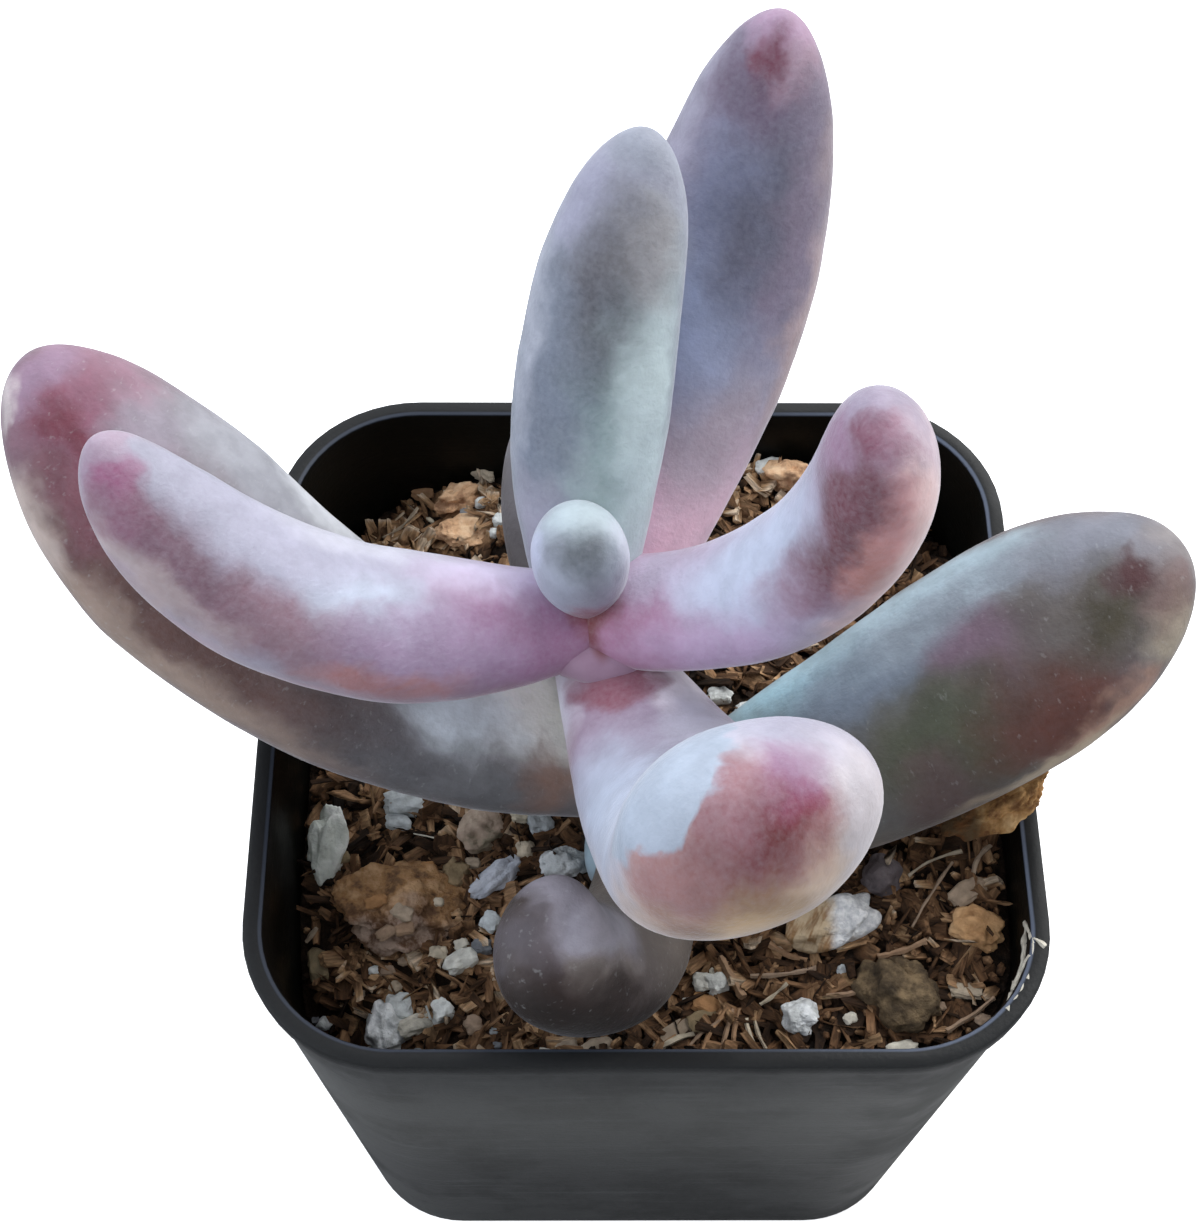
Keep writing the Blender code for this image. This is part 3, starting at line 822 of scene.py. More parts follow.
# %% Bend and place one bit
# Where the bits are paler or darker: some real pale chips, and painted light and shade that make the mix
# paler where light falls and darker in shade: x, y, spread in x and y, change of shade
SOIL_LIGHT_AND_TONE = (
    (-16, 22, 9, 7, 0.7), (2, 27, 12, 5, 0.55), (13, 22, 6, 5, 0.45), (22, -12, 8, 6, 0.12),
    (-16, -16, 7, 4, 0.4), (7, -16, 5, 3, 0.06), (2, -14, 4, 5, -0.20), (9, -22, 5, 2, -0.12),
    (-24, -8, 4, 8, -0.10), (25, 21, 5, 6, -0.25), (-25, 20, 5, 7, 0.05),
)
DARKEST, TONE_RANGE = 0.1, 0.9  # the least shade, and how much neighbouring bits differ
UNLIT = 0.1  # share of its shade that a buried bit keeps, as painted shade
JOG_FINE = 1.7  # how fine the dents of a bit are
JOG_LONG, JOG_THICK = 0.4, 0.7  # how deep they are along it and through it, as shares of those across
BURIED, EXPOSED = -0.3, 0.42  # heights over the soil between which a bit comes into the light


def soil_light_and_tone(place):
    """A lighter or darker share for the bits that lie here, mostly as painted light and shade."""
    return sum(
        change * math.exp(-((place.x - x) / spread_x) ** 2 - ((place.y - y) / spread_y) ** 2)
        for x, y, spread_x, spread_y, change in SOIL_LIGHT_AND_TONE
    )


def somewhere(rng, margin):
    """A random place on the soil, clear of the wall by the margin."""
    u, v = rng.uniform(-1, 1), rng.uniform(-1, 1)
    return pressed(u, v, margin)


def set_down(verts, rng, place, size, shade_layer, own_layer, tilt, sink, bend=0.3, dent=0.25, taper=0.5):
    """Shapes the copy to its size, bends and dents it, and lays it on the soil. Its shade is darkened where
    it sinks into the soil, as painted shade.
    """
    shade = rng.random() * TONE_RANGE + DARKEST + soil_light_and_tone(place)
    seed = Vector((rng.uniform(0, 90), rng.uniform(0, 90), rng.uniform(0, 90)))
    turn = Euler((rng.gauss(0, tilt), rng.gauss(0, tilt), rng.uniform(0, 2 * math.pi))).to_matrix()
    bend_up, bend_side = rng.uniform(-bend, bend), rng.uniform(-bend, bend)
    narrow = rng.uniform(0.2, 1.0) * taper
    for vert in verts:
        x, y, z = vert.co
        thin = 1 - narrow * (2 * x) ** 2
        jog = noise.noise_vector(vert.co * JOG_FINE + seed) * dent
        point = Vector((
            (x + jog.x * JOG_LONG) * size[0],
            (y * thin + jog.y) * size[1] + bend_side * size[0] * x * x,
            (z * thin + jog.z * JOG_THICK) * size[2] + bend_up * size[0] * x * x,
        ))
        vert[own_layer] = point + seed
        vert.co = turn @ point + place
        # Painted shade: the parts of a bit that lie low on the soil are darkened.
        lit = smooth_step(BURIED, EXPOSED, vert.co.z - place.z)
        vert[shade_layer] = max(0.0, min(1.0, shade)) * mix(UNLIT, 1.0, lit)
        vert.co.z += sink


# %% [markdown]
# ## The colours of bark
#
# Fresh breaks in bark are orange-tan, weathered faces are grey-brown, and wet coir is
# dark. The shade that each bit carries chooses its place on that scale, and a grain that
# runs along the bit streaks it lighter and darker. That shade also holds painted light and
# shade: paler where light falls on the mix, and darker low down where a bit sinks into it.

# %% Bark material


def shredded_bark(name, chart, stretch=(0.7, 3.2, 3.2), dimmest=0.45, brightest=1.5):
    """The chart is pairs of a place from 0 to 1 and a colour, for the shades of the bits."""
    material, tree, shader = new_material(name, Roughness=0.85, Specular_IOR_Level=0.25)
    shade = add(tree, "Attribute", attribute_name="shade").outputs["Fac"]
    ramp = add(tree, "ValToRGB", {"Fac": shade})
    points = ramp.color_ramp.elements
    points[0].position, points[0].color = chart[0]
    points[1].position, points[1].color = chart[-1]
    for position, colour in chart[1:-1]:
        points.new(position).color = colour
    own = own_place(tree, "own")
    grain_place = stretched(tree, own, stretch)
    streak = mottle(tree, grain_place, 0.9, 5.0, 0.6)
    light = grey(tree, between(tree, streak, 0.3, 0.75, dimmest, brightest))
    colour = blend(tree, 1.0, ramp.outputs["Color"], light, "MULTIPLY")
    connect(tree, shader, colour, None, streak, 0.18)
    return material


BARK_CHART = (
    (0.0, rgb(14, 9, 5)), (0.22, rgb(58, 40, 26)), (0.5, rgb(106, 77, 53)), (0.78, rgb(152, 119, 88)),
    (0.92, rgb(178, 144, 108)), (1.0, rgb(204, 184, 160)),
)
BARK = shredded_bark("bark_and_coir", BARK_CHART)

# %% Lay chips, shreds, fibres and crumbs
CHIPS = 1500
SHREDS = 1500
FIBRES = 420
CRUMBS = 2600


def laying(seed, lengths, sides, clear, **lie):
    """A rule that lays one bit. Clear is its margin from the wall: a part that is fixed and a share."""
    rng = random.Random(seed)

    def lay(number, verts, shade, own):
        length = rng.uniform(*lengths)
        size = (length, *sides(rng, length))
        place = somewhere(rng, clear[0] + clear[1] * length)
        set_down(verts, rng, place, size, shade, own, **lie)

    return lay


def chip_sides(rng, length):
    return length * rng.uniform(0.4, 0.8), length * rng.uniform(0.14, 0.34)


def shred_sides(rng, length):
    return rng.uniform(0.3, 0.85), rng.uniform(0.14, 0.32)


def fibre_sides(rng, length):
    thick = rng.uniform(0.12, 0.26)
    return thick, thick


def crumb_sides(rng, length):
    return length * 0.8, length * 0.7


def crumb_template():
    shape = bmesh.new()
    bmesh.ops.create_icosphere(shape, subdivisions=1, radius=0.5)
    return shape


templates = (shred_template(), fibre_template(), crumb_template())
shred_mesh, fibre_mesh, crumb_mesh = (as_mesh(template) for template in templates)
lay_chip = laying(21, (1.0, 2.6), chip_sides, (0, 0.5), tilt=0.45, sink=0.05)
lay_shred = laying(22, (1.8, 4.6), shred_sides, (0, 0.45), tilt=0.26, sink=0.12, bend=0.35, dent=0.35)
lay_fibre = laying(23, (2.5, 6.5), fibre_sides, (0, 0.45), tilt=0.2, sink=0.35, bend=0.9, dent=0.6)
lay_crumb = laying(24, (0.35, 1.0), crumb_sides, (0.5, 0), tilt=1.0, sink=0.05, bend=0.1, dent=0.3)
finish_piece("bark_chips", laid(CHIPS, shred_mesh, lay_chip), BARK, smooth=False)
finish_piece("coir_shreds", laid(SHREDS, shred_mesh, lay_shred), BARK, smooth=False)
finish_piece("coir_fibres", laid(FIBRES, fibre_mesh, lay_fibre), BARK)
finish_piece("soil_crumbs", laid(CRUMBS, crumb_mesh, lay_crumb), BARK, smooth=False)

# %% [markdown]
# ## Stones, bark pieces and perlite
#
# The larger bits in the mix are pieces of their own. Each is a fine ball, squeezed,
# dented and turned like its plain solid, and then given the small relief of its own
# stuff: pits and crumbling edges in bark, a granular skin on perlite and stone.

# %% The list of lumps


@dataclass
class Lump:
    """A stone, a piece of bark or a piece of perlite that lies loose on the soil."""

    name: str
    slot: str
    place: tuple  # x and y of its middle
    lift: float  # its middle above the soil
    size: tuple  # along its own x, y and z
    turn: tuple  # degrees about x, y and z
    seed: int
    fineness: int = 5  # how often the ball is divided


LUMPS = (
    Lump("bark_left", "bark_orange", (-17.4, -11.6), 0.7, (9.0, 6.4, 3.2), (0, 6, 4), 1, 6),
    Lump("bark_front_right", "bark_brown", (17.6, -20.0), 0.7, (5.6, 4.6, 2.8), (8, 0, -35), 2),
    Lump("bark_over_rim", "bark_orange", (24.0, -7.6), 4.1, (8.6, 4.6, 1.9), (0, -38, -6), 3, 6),
    Lump("bark_right", "bark_orange", (23.2, -15.6), 0.5, (3.8, 3.0, 1.7), (10, 5, -20), 4),
    Lump("bark_back_left", "bark_orange", (-13.4, 20.6), 0.3, (4.6, 3.2, 1.8), (-12, 8, 10), 5),
    Lump("bark_back_edge", "bark_orange", (-14.2, 23.4), 0.9, (3.6, 2.2, 2.4), (30, 0, 25), 6),
    Lump("bark_back_right", "bark_orange", (12.2, 23.3), 0.8, (4.2, 2.4, 2.4), (25, 0, -12), 7),
    Lump("stone_pale", "stone_pale", (13.2, -14.6), 1.0, (6.6, 3.8, 3.4), (0, -6, 18), 8),
    Lump("stone_grey", "stone_grey", (16.9, -11.2), 0.5, (3.0, 2.8, 2.4), (0, 0, 20), 9),
    Lump("perlite_front_right", "perlite", (10.8, -21.2), 0.5, (2.7, 2.4, 2.0), (0, 10, 25), 10),
    Lump("perlite_left_wall", "perlite", (-22.9, -6.8), 1.2, (2.7, 6.0, 2.2), (35, 0, -6), 11),
    Lump("perlite_left_block", "perlite", (-11.6, -6.0), 0.7, (3.4, 3.4, 2.8), (10, 0, 12), 12),
    Lump("perlite_left_long", "perlite", (-10.6, -9.6), 0.5, (4.6, 1.8, 1.7), (0, -8, 38), 13),
    Lump("perlite_middle", "perlite", (-5.7, -8.9), 0.5, (3.3, 2.6, 2.2), (0, 8, 8), 14),
    Lump("perlite_front_left", "perlite", (-18.2, -20.2), 1.0, (2.9, 3.9, 2.8), (12, 0, 8), 15),
)
DENT_DEPTH = 0.32
DENT_FINENESS = 1.7
# Relief of each stuff: wavelength and height, as shares of the lump's half size
RELIEF = {
    "bark": ((0.55, 0.16), (0.24, 0.12), (0.10, 0.05)),
    "perlite": ((0.50, 0.15), (0.22, 0.07), (0.09, 0.03)),
    "stone": ((0.60, 0.05), (0.25, 0.025), (0.08, 0.014)),
}


def lump_shape(lump):
    shape = bmesh.new()
    bmesh.ops.create_icosphere(shape, subdivisions=lump.fineness, radius=0.5)
    half = Vector(lump.size) / 2
    relief = RELIEF[lump.name.split("_")[0]]
    seed = Vector((lump.seed, lump.seed / 2, 0))
    for vert in shape.verts:
        way = vert.co.normalized()
        dent = 1 + DENT_DEPTH * noise.noise(way * DENT_FINENESS + seed)
        for size, height in relief:
            dent += height * noise.noise(way / size + seed * 3)
        vert.co = Vector((way.x * half.x, way.y * half.y, way.z * half.z)) * dent
    turn = Euler([math.radians(angle) for angle in lump.turn]).to_matrix()
    bmesh.ops.rotate(shape, cent=(0, 0, 0), matrix=turn, verts=shape.verts)
    x, y = lump.place
    bmesh.ops.translate(shape, verts=shape.verts, vec=(x, y, soil_height(x, y) + lump.lift))
    return shape


# %% [markdown]
# ## What the lumps are made of
#
# Pine bark is layered, orange where it broke and dark in its pits. Perlite is a white
# volcanic froth. One stone is half tan with rusty stripes and half white and granular,
# and the other is a plain dark grey.

# %% Materials of the lumps


def pitted(name, light, middle, dark, grain, rough=0.85, side=None):
    """Three colours that follow a relief of patches and fine grain, and one side of another colour."""
    material, tree, shader = new_material(name, Roughness=rough, Specular_IOR_Level=0.3)
    place = in_millimetres(tree)
    broad = mottle(tree, place, grain * 3.2, 5.0, 0.62)
    fine = use_group(tree, POWDER_GRAIN, {"Place": place, "Grain": grain, "Contrast": 0.7})
    colour = blend(tree, between(tree, broad, 0.34, 0.52), dark, middle)
    colour = blend(tree, between(tree, broad, 0.48, 0.68), colour, light)
    colour = blend(tree, times(tree, fine, 0.22), colour, light)
    if side:
        middle_of_side, reach, other = side
        mask = use_group(tree, SOFT_PATCH, {
            "Place": wavered(tree, place), "Centre": middle_of_side, "Reach": reach,
            "Softness": 0.3, "Strength": 0.9,
        })
        ground = blend(tree, between(tree, broad, 0.4, 0.62), dark, other)
        colour = blend(tree, mask, colour, ground)
    connect(tree, shader, colour, None, plus(tree, broad, times(tree, fine, 0.4)), 0.25)
    return material


def banded_stone(name, middle):
    """Tan with rusty stripes on one side of its middle, white and granular on the other."""
    material, tree, shader = new_material(name, Roughness=0.7, Specular_IOR_Level=0.35)
    place = vector_calc(tree, "SUBTRACT", in_millimetres(tree), middle)
    across = part(tree, place, "X")
    ragged = plus(tree, across, times(tree, mottle(tree, place, 1.2), 1.6))
    white_side = between(tree, ragged, 0.2, 1.2)
    slanting = add(tree, "VectorRotate", {"Vector": place, "Angle": 0.5}).outputs["Vector"]
    stripes = mottle(tree, stretched(tree, slanting, (1.7, 0.4, 0.4)), 0.8, 3.0)
    tan = blend(tree, between(tree, stripes, 0.42, 0.66), rgb(206, 184, 152), rgb(158, 122, 84))
    grain = use_group(tree, POWDER_GRAIN, {"Place": place, "Grain": 0.45, "Contrast": 0.9})
    white = blend(tree, grain, rgb(206, 208, 212), rgb(252, 252, 252))
    connect(tree, shader, blend(tree, white_side, tan, white), None, grain, 0.1)
    return material


LUMP_LOOKS = {
    "bark_left": pitted(
        "orange_bark", rgb(196, 158, 118), rgb(156, 116, 76), rgb(84, 58, 40), 0.45,
        side=((-17.4, -15.2, 39.4), (5.0, 3.0, 3.0), rgb(176, 154, 140)),
    ),
    "bark_over_rim": pitted(
        "pale_bark", rgb(214, 178, 130), rgb(184, 140, 88), rgb(116, 76, 44), 0.5,
        side=((20.0, -7.6, 45.0), (4.8, 5.0, 4.0), rgb(84, 66, 46)),
    ),
    "bark_right": pitted("tan_bark", rgb(214, 176, 132), rgb(190, 148, 104), rgb(140, 102, 66), 0.8),
    # Painted light: the bark pieces at the back are painted far paler than bark, to make up for the shade of
    # the leaves over them.
    "bark_orange": pitted("bark_orange", rgb(240, 206, 168), rgb(222, 178, 138), rgb(154, 112, 82), 0.45),
    "bark_brown": pitted("bark_brown", rgb(132, 112, 84), rgb(86, 72, 54), rgb(50, 41, 31), 0.4),
    "perlite": pitted("perlite", rgb(250, 252, 252), rgb(232, 236, 238), rgb(186, 190, 190), 0.5, 0.75),
    "perlite_left_block": pitted(
        "creamy_perlite", rgb(186, 168, 150), rgb(160, 140, 124), rgb(104, 98, 78), 0.9, 0.75,
    ),
    "perlite_left_long": pitted(
        "lilac_perlite", rgb(206, 208, 216), rgb(184, 188, 198), rgb(150, 154, 166), 0.6, 0.75,
    ),
    "perlite_left_wall": pitted(
        "greenish_perlite", rgb(250, 252, 246), rgb(230, 236, 226), rgb(180, 186, 174), 0.7, 0.75,
    ),
    "perlite_middle": pitted(
        "grey_perlite", rgb(206, 208, 209), rgb(184, 188, 189), rgb(146, 150, 150), 0.5, 0.75,
    ),
    "stone_grey": pitted("stone_grey", rgb(124, 114, 116), rgb(102, 93, 95), rgb(80, 73, 75), 0.7, 0.6),
    "stone_pale": banded_stone("stone_pale", (13.2, -14.6, 42.0)),
}
for lump in LUMPS:
    look = LUMP_LOOKS.get(lump.name, LUMP_LOOKS.get(lump.slot))
    finish_piece(lump.name + "_lump", lump_shape(lump), look, [lump.name])

# %% [markdown]
# ## Grit, flakes and straws
#
# Some bits stand out from the mix: grains of perlite, pale flakes, and thin straws that
# lie across it. They are few, so each has its own place, size and shade here. A grain is
# a ball pressed towards a block, and a straw is a bent rod between two points.

# %% The chart of grit
GRIT_CHART = (
    (0.0, rgb(40, 34, 30)), (0.14, rgb(122, 125, 130)), (0.25, rgb(198, 204, 206)),
    (0.4, rgb(226, 230, 228)), (0.55, rgb(206, 196, 174)), (0.7, rgb(160, 138, 118)),
    (0.85, rgb(172, 128, 86)), (1.0, rgb(128, 120, 96)),
)
BLUE, PALE_BLUE, WHITE, CREAM, PINKISH, TAN = 0.14, 0.25, 0.4, 0.55, 0.7, 0.85
GRIT = shredded_bark("grit", GRIT_CHART, (1.2, 1.2, 1.2), 0.72, 1.15)

# Grains and flakes: x, y, length, width, thickness, degrees of turn, shade
GRAINS = (
    (-17.5, -3.5, 2.9, 1.7, 1.4, 0, PALE_BLUE), (-17.9, -4.9, 1.9, 1.1, 1.0, -12, PALE_BLUE),
    (-8.9, -4.9, 1.3, 1.1, 1.0, 0, CREAM), (-7.5, -5.4, 1.6, 2.1, 1.2, 20, 0.2),
    (-8.5, -7.6, 1.3, 1.3, 1.0, 0, 0.6), (-12.3, -8.2, 1.1, 0.8, 0.7, 0, 0.66),
    (-13.6, -9.0, 1.9, 2.4, 1.3, -20, 0.96), (-23.0, -4.1, 1.0, 0.9, 0.8, 0, 0.62),
    (-22.0, -7.3, 1.1, 1.3, 0.8, 30, 0.97), (-15.6, -8.6, 1.2, 0.8, 0.7, 10, TAN),
    (-13.0, -15.8, 2.4, 1.4, 1.2, 30, 0.46), (-14.6, -15.2, 1.4, 1.1, 1.0, 0, 0.58),
    (-13.0, -14.6, 1.0, 0.7, 0.6, 20, 0.5), (-11.5, -14.8, 1.5, 1.0, 1.1, 0, BLUE),
    (-10.9, -13.0, 1.4, 1.4, 1.0, -35, PALE_BLUE), (-17.4, -18.8, 2.0, 1.9, 1.6, 0, 0.3),
    (-16.2, -20.2, 2.5, 1.3, 1.2, 24, 0.5), (-14.4, -19.4, 1.8, 1.5, 1.5, 35, WHITE),
    (-12.0, -20.5, 1.2, 1.4, 0.8, 20, PINKISH), (-22.8, -18.8, 1.2, 1.0, 1.0, -25, 0.32),
    (-23.6, -18.4, 0.6, 0.5, 0.5, 0, BLUE), (-17.7, -17.2, 0.9, 0.8, 0.6, 40, 0.64),
    (-19.2, -16.0, 0.9, 0.6, 0.5, 10, WHITE), (-18.3, -16.1, 1.1, 0.7, 0.4, 0, PINKISH),
    (-17.1, -15.4, 0.9, 0.6, 0.4, 15, 0.68), (-17.0, -14.0, 1.3, 0.9, 0.4, 10, 0.74),
    (-18.3, -14.2, 1.5, 0.9, 0.4, 35, 0.72), (-17.2, -12.9, 1.5, 1.1, 0.5, -30, 0.66),
    (-19.1, -12.1, 1.5, 0.9, 0.5, 20, TAN), (-14.6, -12.0, 0.7, 0.6, 0.5, 0, 0.6),
    (-23.4, -15.0, 1.4, 2.3, 0.8, 10, 0.98), (-20.3, -17.4, 0.8, 0.5, 0.4, 10, 0.64),
    (-19.2, -21.3, 1.4, 0.9, 0.8, 0, 0.5), (-17.5, -21.9, 1.1, 0.8, 0.8, 0, WHITE),
    (-15.9, -22.2, 0.8, 1.1, 0.8, 0, 0.2), (-14.4, -22.5, 0.9, 0.8, 0.7, 0, PALE_BLUE),
    (-6.8, -22.8, 1.2, 0.6, 0.3, -20, 0.5), (-5.5, -22.4, 1.5, 0.9, 0.4, 25, 0.66),
    (-3.3, -22.6, 2.1, 1.3, 0.4, 12, 0.66), (-10.3, -22.1, 0.6, 0.5, 0.5, 0, BLUE),
    (-10.6, -21.0, 0.6, 0.5, 0.5, 0, 0.2), (-22.0, -20.3, 1.6, 1.0, 0.7, -30, 0.56),
    (-12.3, 22.8, 1.1, 0.9, 0.9, 15, WHITE), (-13.5, 22.2, 1.1, 1.0, 0.9, 0, 0.18),
    (-10.8, 20.9, 1.1, 1.0, 0.9, -15, WHITE), (-11.1, 19.8, 1.0, 0.7, 0.7, 0, 0.38),
    (-15.1, 24.3, 0.7, 0.5, 0.5, 0, CREAM), (-16.4, 22.0, 0.7, 0.3, 0.3, -40, CREAM),
    (-16.2, 20.7, 0.8, 0.4, 0.3, -30, CREAM), (-17.1, 24.8, 1.7, 1.1, 0.3, 10, 0.8),
    (-12.3, 25.4, 2.0, 1.0, 1.0, -30, 0.6), (4.2, -18.1, 1.4, 1.3, 1.1, 0, 0.46),
    (5.1, -18.3, 1.5, 1.3, 1.2, 20, 0.42), (4.9, -17.4, 0.6, 0.7, 0.6, 0, 0.5),
    (4.4, -19.6, 2.2, 1.3, 0.7, -20, 0.84), (4.2, -21.0, 2.2, 1.7, 0.4, 20, 0.97),
    (3.1, -19.3, 0.8, 0.6, 0.6, 0, 0.48), (13.9, -17.9, 0.8, 0.9, 0.7, 0, PALE_BLUE),
    (14.1, -18.7, 1.3, 1.0, 0.5, 10, 0.92), (17.5, -23.9, 2.2, 1.4, 0.9, 10, 0.5),
    (22.1, -19.8, 2.2, 1.1, 0.5, -10, 0.62), (22.7, -12.9, 2.7, 1.5, 0.8, 35, 0.68),
    (20.3, -20.9, 0.8, 0.7, 0.6, 0, 0.7), (23.1, -22.0, 1.2, 0.9, 0.7, -20, 0.7),
    (14.1, -21.6, 0.9, 0.8, 0.6, 30, 0.5), (6.0, 4.6, 1.7, 1.2, 1.0, 0, WHITE),
    (7.8, 3.4, 1.4, 1.1, 0.9, 20, 0.36), (10.4, 24.6, 2.0, 1.2, 1.1, 10, 0.42),
    (2.0, -21.8, 2.9, 1.3, 0.25, 38, 0.66),
)


GRAIN_DENTS = ((3.0, 0.3), (8.0, 0.12))  # fineness and depth
GRAIN_SHOWS, GRAIN_LIFT = 0.3, 0.15  # height of its middle: a share of its thickness, and a fixed part


def block_ball():
    """A ball pressed a little towards a block, about one across."""
    shape = bmesh.new()
    bmesh.ops.create_icosphere(shape, subdivisions=3, radius=1.0)
    for vert in shape.verts:
        spread = sum(abs(part) ** 4 for part in vert.co) ** 0.25
        vert.co *= 0.5 / spread
    return shape


def top_height(x, y):
    """The soil's height, or that of the long piece of bark where it lies here."""
    bark = LUMPS[0]
    away = (2 * (x - bark.place[0]) / bark.size[0]) ** 2 + (2 * (y - bark.place[1]) / bark.size[1]) ** 2
    if away > 1:
        return soil_height(x, y)
    bark_top = soil_height(*bark.place) + bark.lift + bark.size[2] / 2 * math.sqrt(1 - away)
    return max(soil_height(x, y), bark_top)


def lay_grain(number, verts, shade, own):
    x, y, length, width, thick, turn, tone = GRAINS[number]
    seed = Vector((number * 7.3, 5.0, 1.0))
    spin = Matrix.Rotation(math.radians(turn), 3, "Z")
    place = Vector((x, y, top_height(x, y) + GRAIN_SHOWS * thick + GRAIN_LIFT))
    for vert in verts:
        dent = 1 + sum(depth * noise.noise(vert.co * fine + seed) for fine, depth in GRAIN_DENTS)
        point = Vector((vert.co.x * length, vert.co.y * width, vert.co.z * thick)) * dent
        vert[own] = point + seed
        vert[shade] = tone
        vert.co = spin @ point + place


grains = laid(len(GRAINS), as_mesh(block_ball()), lay_grain)
finish_piece("grit_grains", grains, GRIT, smooth=False)

# %% Lay straws and splinters
# From x, y and height over the soil, to x, y and height, thickness, bow to the side, shade
STRAWS = (
    (-20.2, 21.0, 0.7, -17.4, 23.0, 1.1, 0.30, 0.35, 0.64),
    (24.4, 23.4, 1.2, 24.5, 21.2, 1.0, 0.40, 0.05, 0.45),
    (25.1, 22.2, 0.8, 26.0, 22.0, 0.9, 0.28, 0.0, 0.12),
    (5.8, -20.4, 0.8, 3.9, -23.3, 0.5, 0.50, 0.15, 0.80),
    (6.1, -20.4, 0.8, 5.2, -23.4, 0.4, 0.42, 0.0, 0.74),
    (6.6, -20.4, 0.8, 6.0, -23.4, 0.4, 0.45, 0.1, 0.78),
    (7.0, -21.2, 0.8, 7.6, -23.3, 0.4, 0.40, 0.1, 0.58),
    (7.6, -21.4, 0.8, 8.3, -23.4, 0.4, 0.34, 0.1, 0.62),
    (5.2, -21.2, 0.8, 3.0, -22.9, 0.4, 0.45, 0.1, 0.72),
    (3.4, -22.0, 0.7, 1.0, -23.0, 0.4, 0.55, 0.2, 0.58),
    (8.0, -20.2, 0.8, 9.9, -18.9, 1.1, 0.36, 0.1, 0.60),
    (7.4, -18.1, 0.7, 12.0, -17.7, 0.9, 0.42, 0.2, 0.70),
    (5.4, -16.4, 0.7, 6.9, -19.6, 0.9, 0.80, 0.1, 0.76),
    (21.8, -10.7, 0.9, 18.7, -15.3, 0.7, 0.30, 0.1, 0.70),
    (22.5, -9.9, 0.8, 18.7, -11.4, 0.7, 0.38, 0.3, 0.62),
    (-16.7, -6.0, 0.7, -14.7, -6.5, 0.7, 0.16, 0.0, 0.50),
    (-24.3, -13.6, 0.8, -23.5, -12.9, 1.0, 0.45, 0.0, 0.66),
    (-23.4, 23.4, 1.2, -20.0, 25.2, 1.3, 0.85, 0.3, 0.08),
    (-20.4, 25.1, 1.3, -17.0, 26.0, 1.6, 0.50, 0.2, 0.12),
    (24.6, -9.6, 0.8, 23.2, -11.6, 0.6, 0.50, 0.3, 0.68),
    (16.2, -17.2, 0.7, 19.6, -16.4, 0.8, 0.55, 0.2, 0.76),
    (12.6, -20.0, 0.6, 16.0, -19.0, 0.7, 0.50, 0.3, 0.74),
    (20.6, -22.8, 0.6, 24.0, -20.6, 0.8, 0.45, 0.1, 0.72),
    (8.8, -15.8, 0.6, 11.4, -17.0, 0.7, 0.55, 0.2, 0.78),
)
STRAW_THINNED = 0.75
CRUST_SHADE, CRUST_THICK = 0.5, 0.4
RAGGED_FINE, RAGGED_BY = 1.3, 0.7  # how its thickness changes along a straw
WANDER_FINE, WANDER_BY = 0.9, 0.25  # how it wanders to the side
# A dry whitish crust along the inner edge of the rim: x, y, z
CRUST = (
    ((26.0, -16.5, 46.9), (26.1, -17.6, 47.6), (26.2, -18.6, 47.8), (26.0, -19.9, 47.8), (25.5, -21.2, 47.8)),
    ((26.0, -16.7, 46.9), (25.7, -18.2, 46.9), (25.6, -19.5, 46.9), (25.0, -20.7, 46.2), (24.7, -21.6, 46.2)),
    ((25.0, -20.7, 46.3), (24.6, -21.8, 46.8), (24.1, -22.9, 47.4), (23.5, -23.7, 47.8)),
    ((25.9, -19.4, 47.8), (25.2, -20.4, 47.2), (24.6, -21.6, 47.0)),
    ((25.5, -21.2, 47.8), (24.8, -22.4, 47.8), (23.9, -23.4, 47.8)),
    ((26.2, -18.2, 47.9), (26.9, -18.9, 48.0)),
)


def rod_between(verts, start, end, thick, bow, tone, shade, own, seed):
    """Bends a rod along X so that it runs from the start to the end, ragged and uneven."""
    along = end - start
    sideways = along.cross(Vector((0, 0, 1))).normalized()
    upright = along.cross(sideways).normalized()
    for vert in verts:
        share = vert.co.x + 0.5
        place = start + along * share
        ragged = 1 + RAGGED_BY * noise.noise(place * RAGGED_FINE + seed)
        wander = WANDER_BY * thick * noise.noise(place * WANDER_FINE + seed)
        arch = bow * math.sin(math.pi * share) + wander
        across = (vert.co.y * sideways + vert.co.z * upright) * thick * ragged
        vert[own] = Vector((share * along.length, vert.co.y * thick, vert.co.z * thick)) + seed
        vert[shade] = tone
        vert.co = place + across + sideways * arch


def lay_straw(number, verts, shade, own):
    x1, y1, lift1, x2, y2, lift2, thick, bow, tone = STRAWS[number]
    start = Vector((x1, y1, soil_height(x1, y1) + lift1))
    end = Vector((x2, y2, soil_height(x2, y2) + lift2))
    seed = Vector((number * 3.1, 2.0, 0))
    rod_between(verts, start, end, STRAW_THINNED * thick, bow, tone, shade, own, seed)


CRUST_STEPS = [(path[i], path[i + 1]) for path in CRUST for i in range(len(path) - 1)]


def lay_crust(number, verts, shade, own):
    start, end = (Vector(place) for place in CRUST_STEPS[number])
    seed = Vector((number * 1.7, 9.0, 0))
    rod_between(verts, start, end, CRUST_THICK, 0.0, CRUST_SHADE, shade, own, seed)


straw_mesh = as_mesh(fibre_template(9))
finish_piece("straws", laid(len(STRAWS), straw_mesh, lay_straw), GRIT, smooth=False)
finish_piece("rim_crust", laid(len(CRUST_STEPS), straw_mesh, lay_crust), GRIT, smooth=False)

# %% [markdown]
# ## The stem
#
# Little of the stem shows between the leaves. It is a short leaning column, green-grey
# under the same powder as the leaves, with its lower end in the soil.

# %% Stem
STEM_LOW = Vector((-1.0, -2.5, 36.0))
STEM_HIGH = Vector((-2.9, -2.2, 60.0))
STEM_SIDES = 40
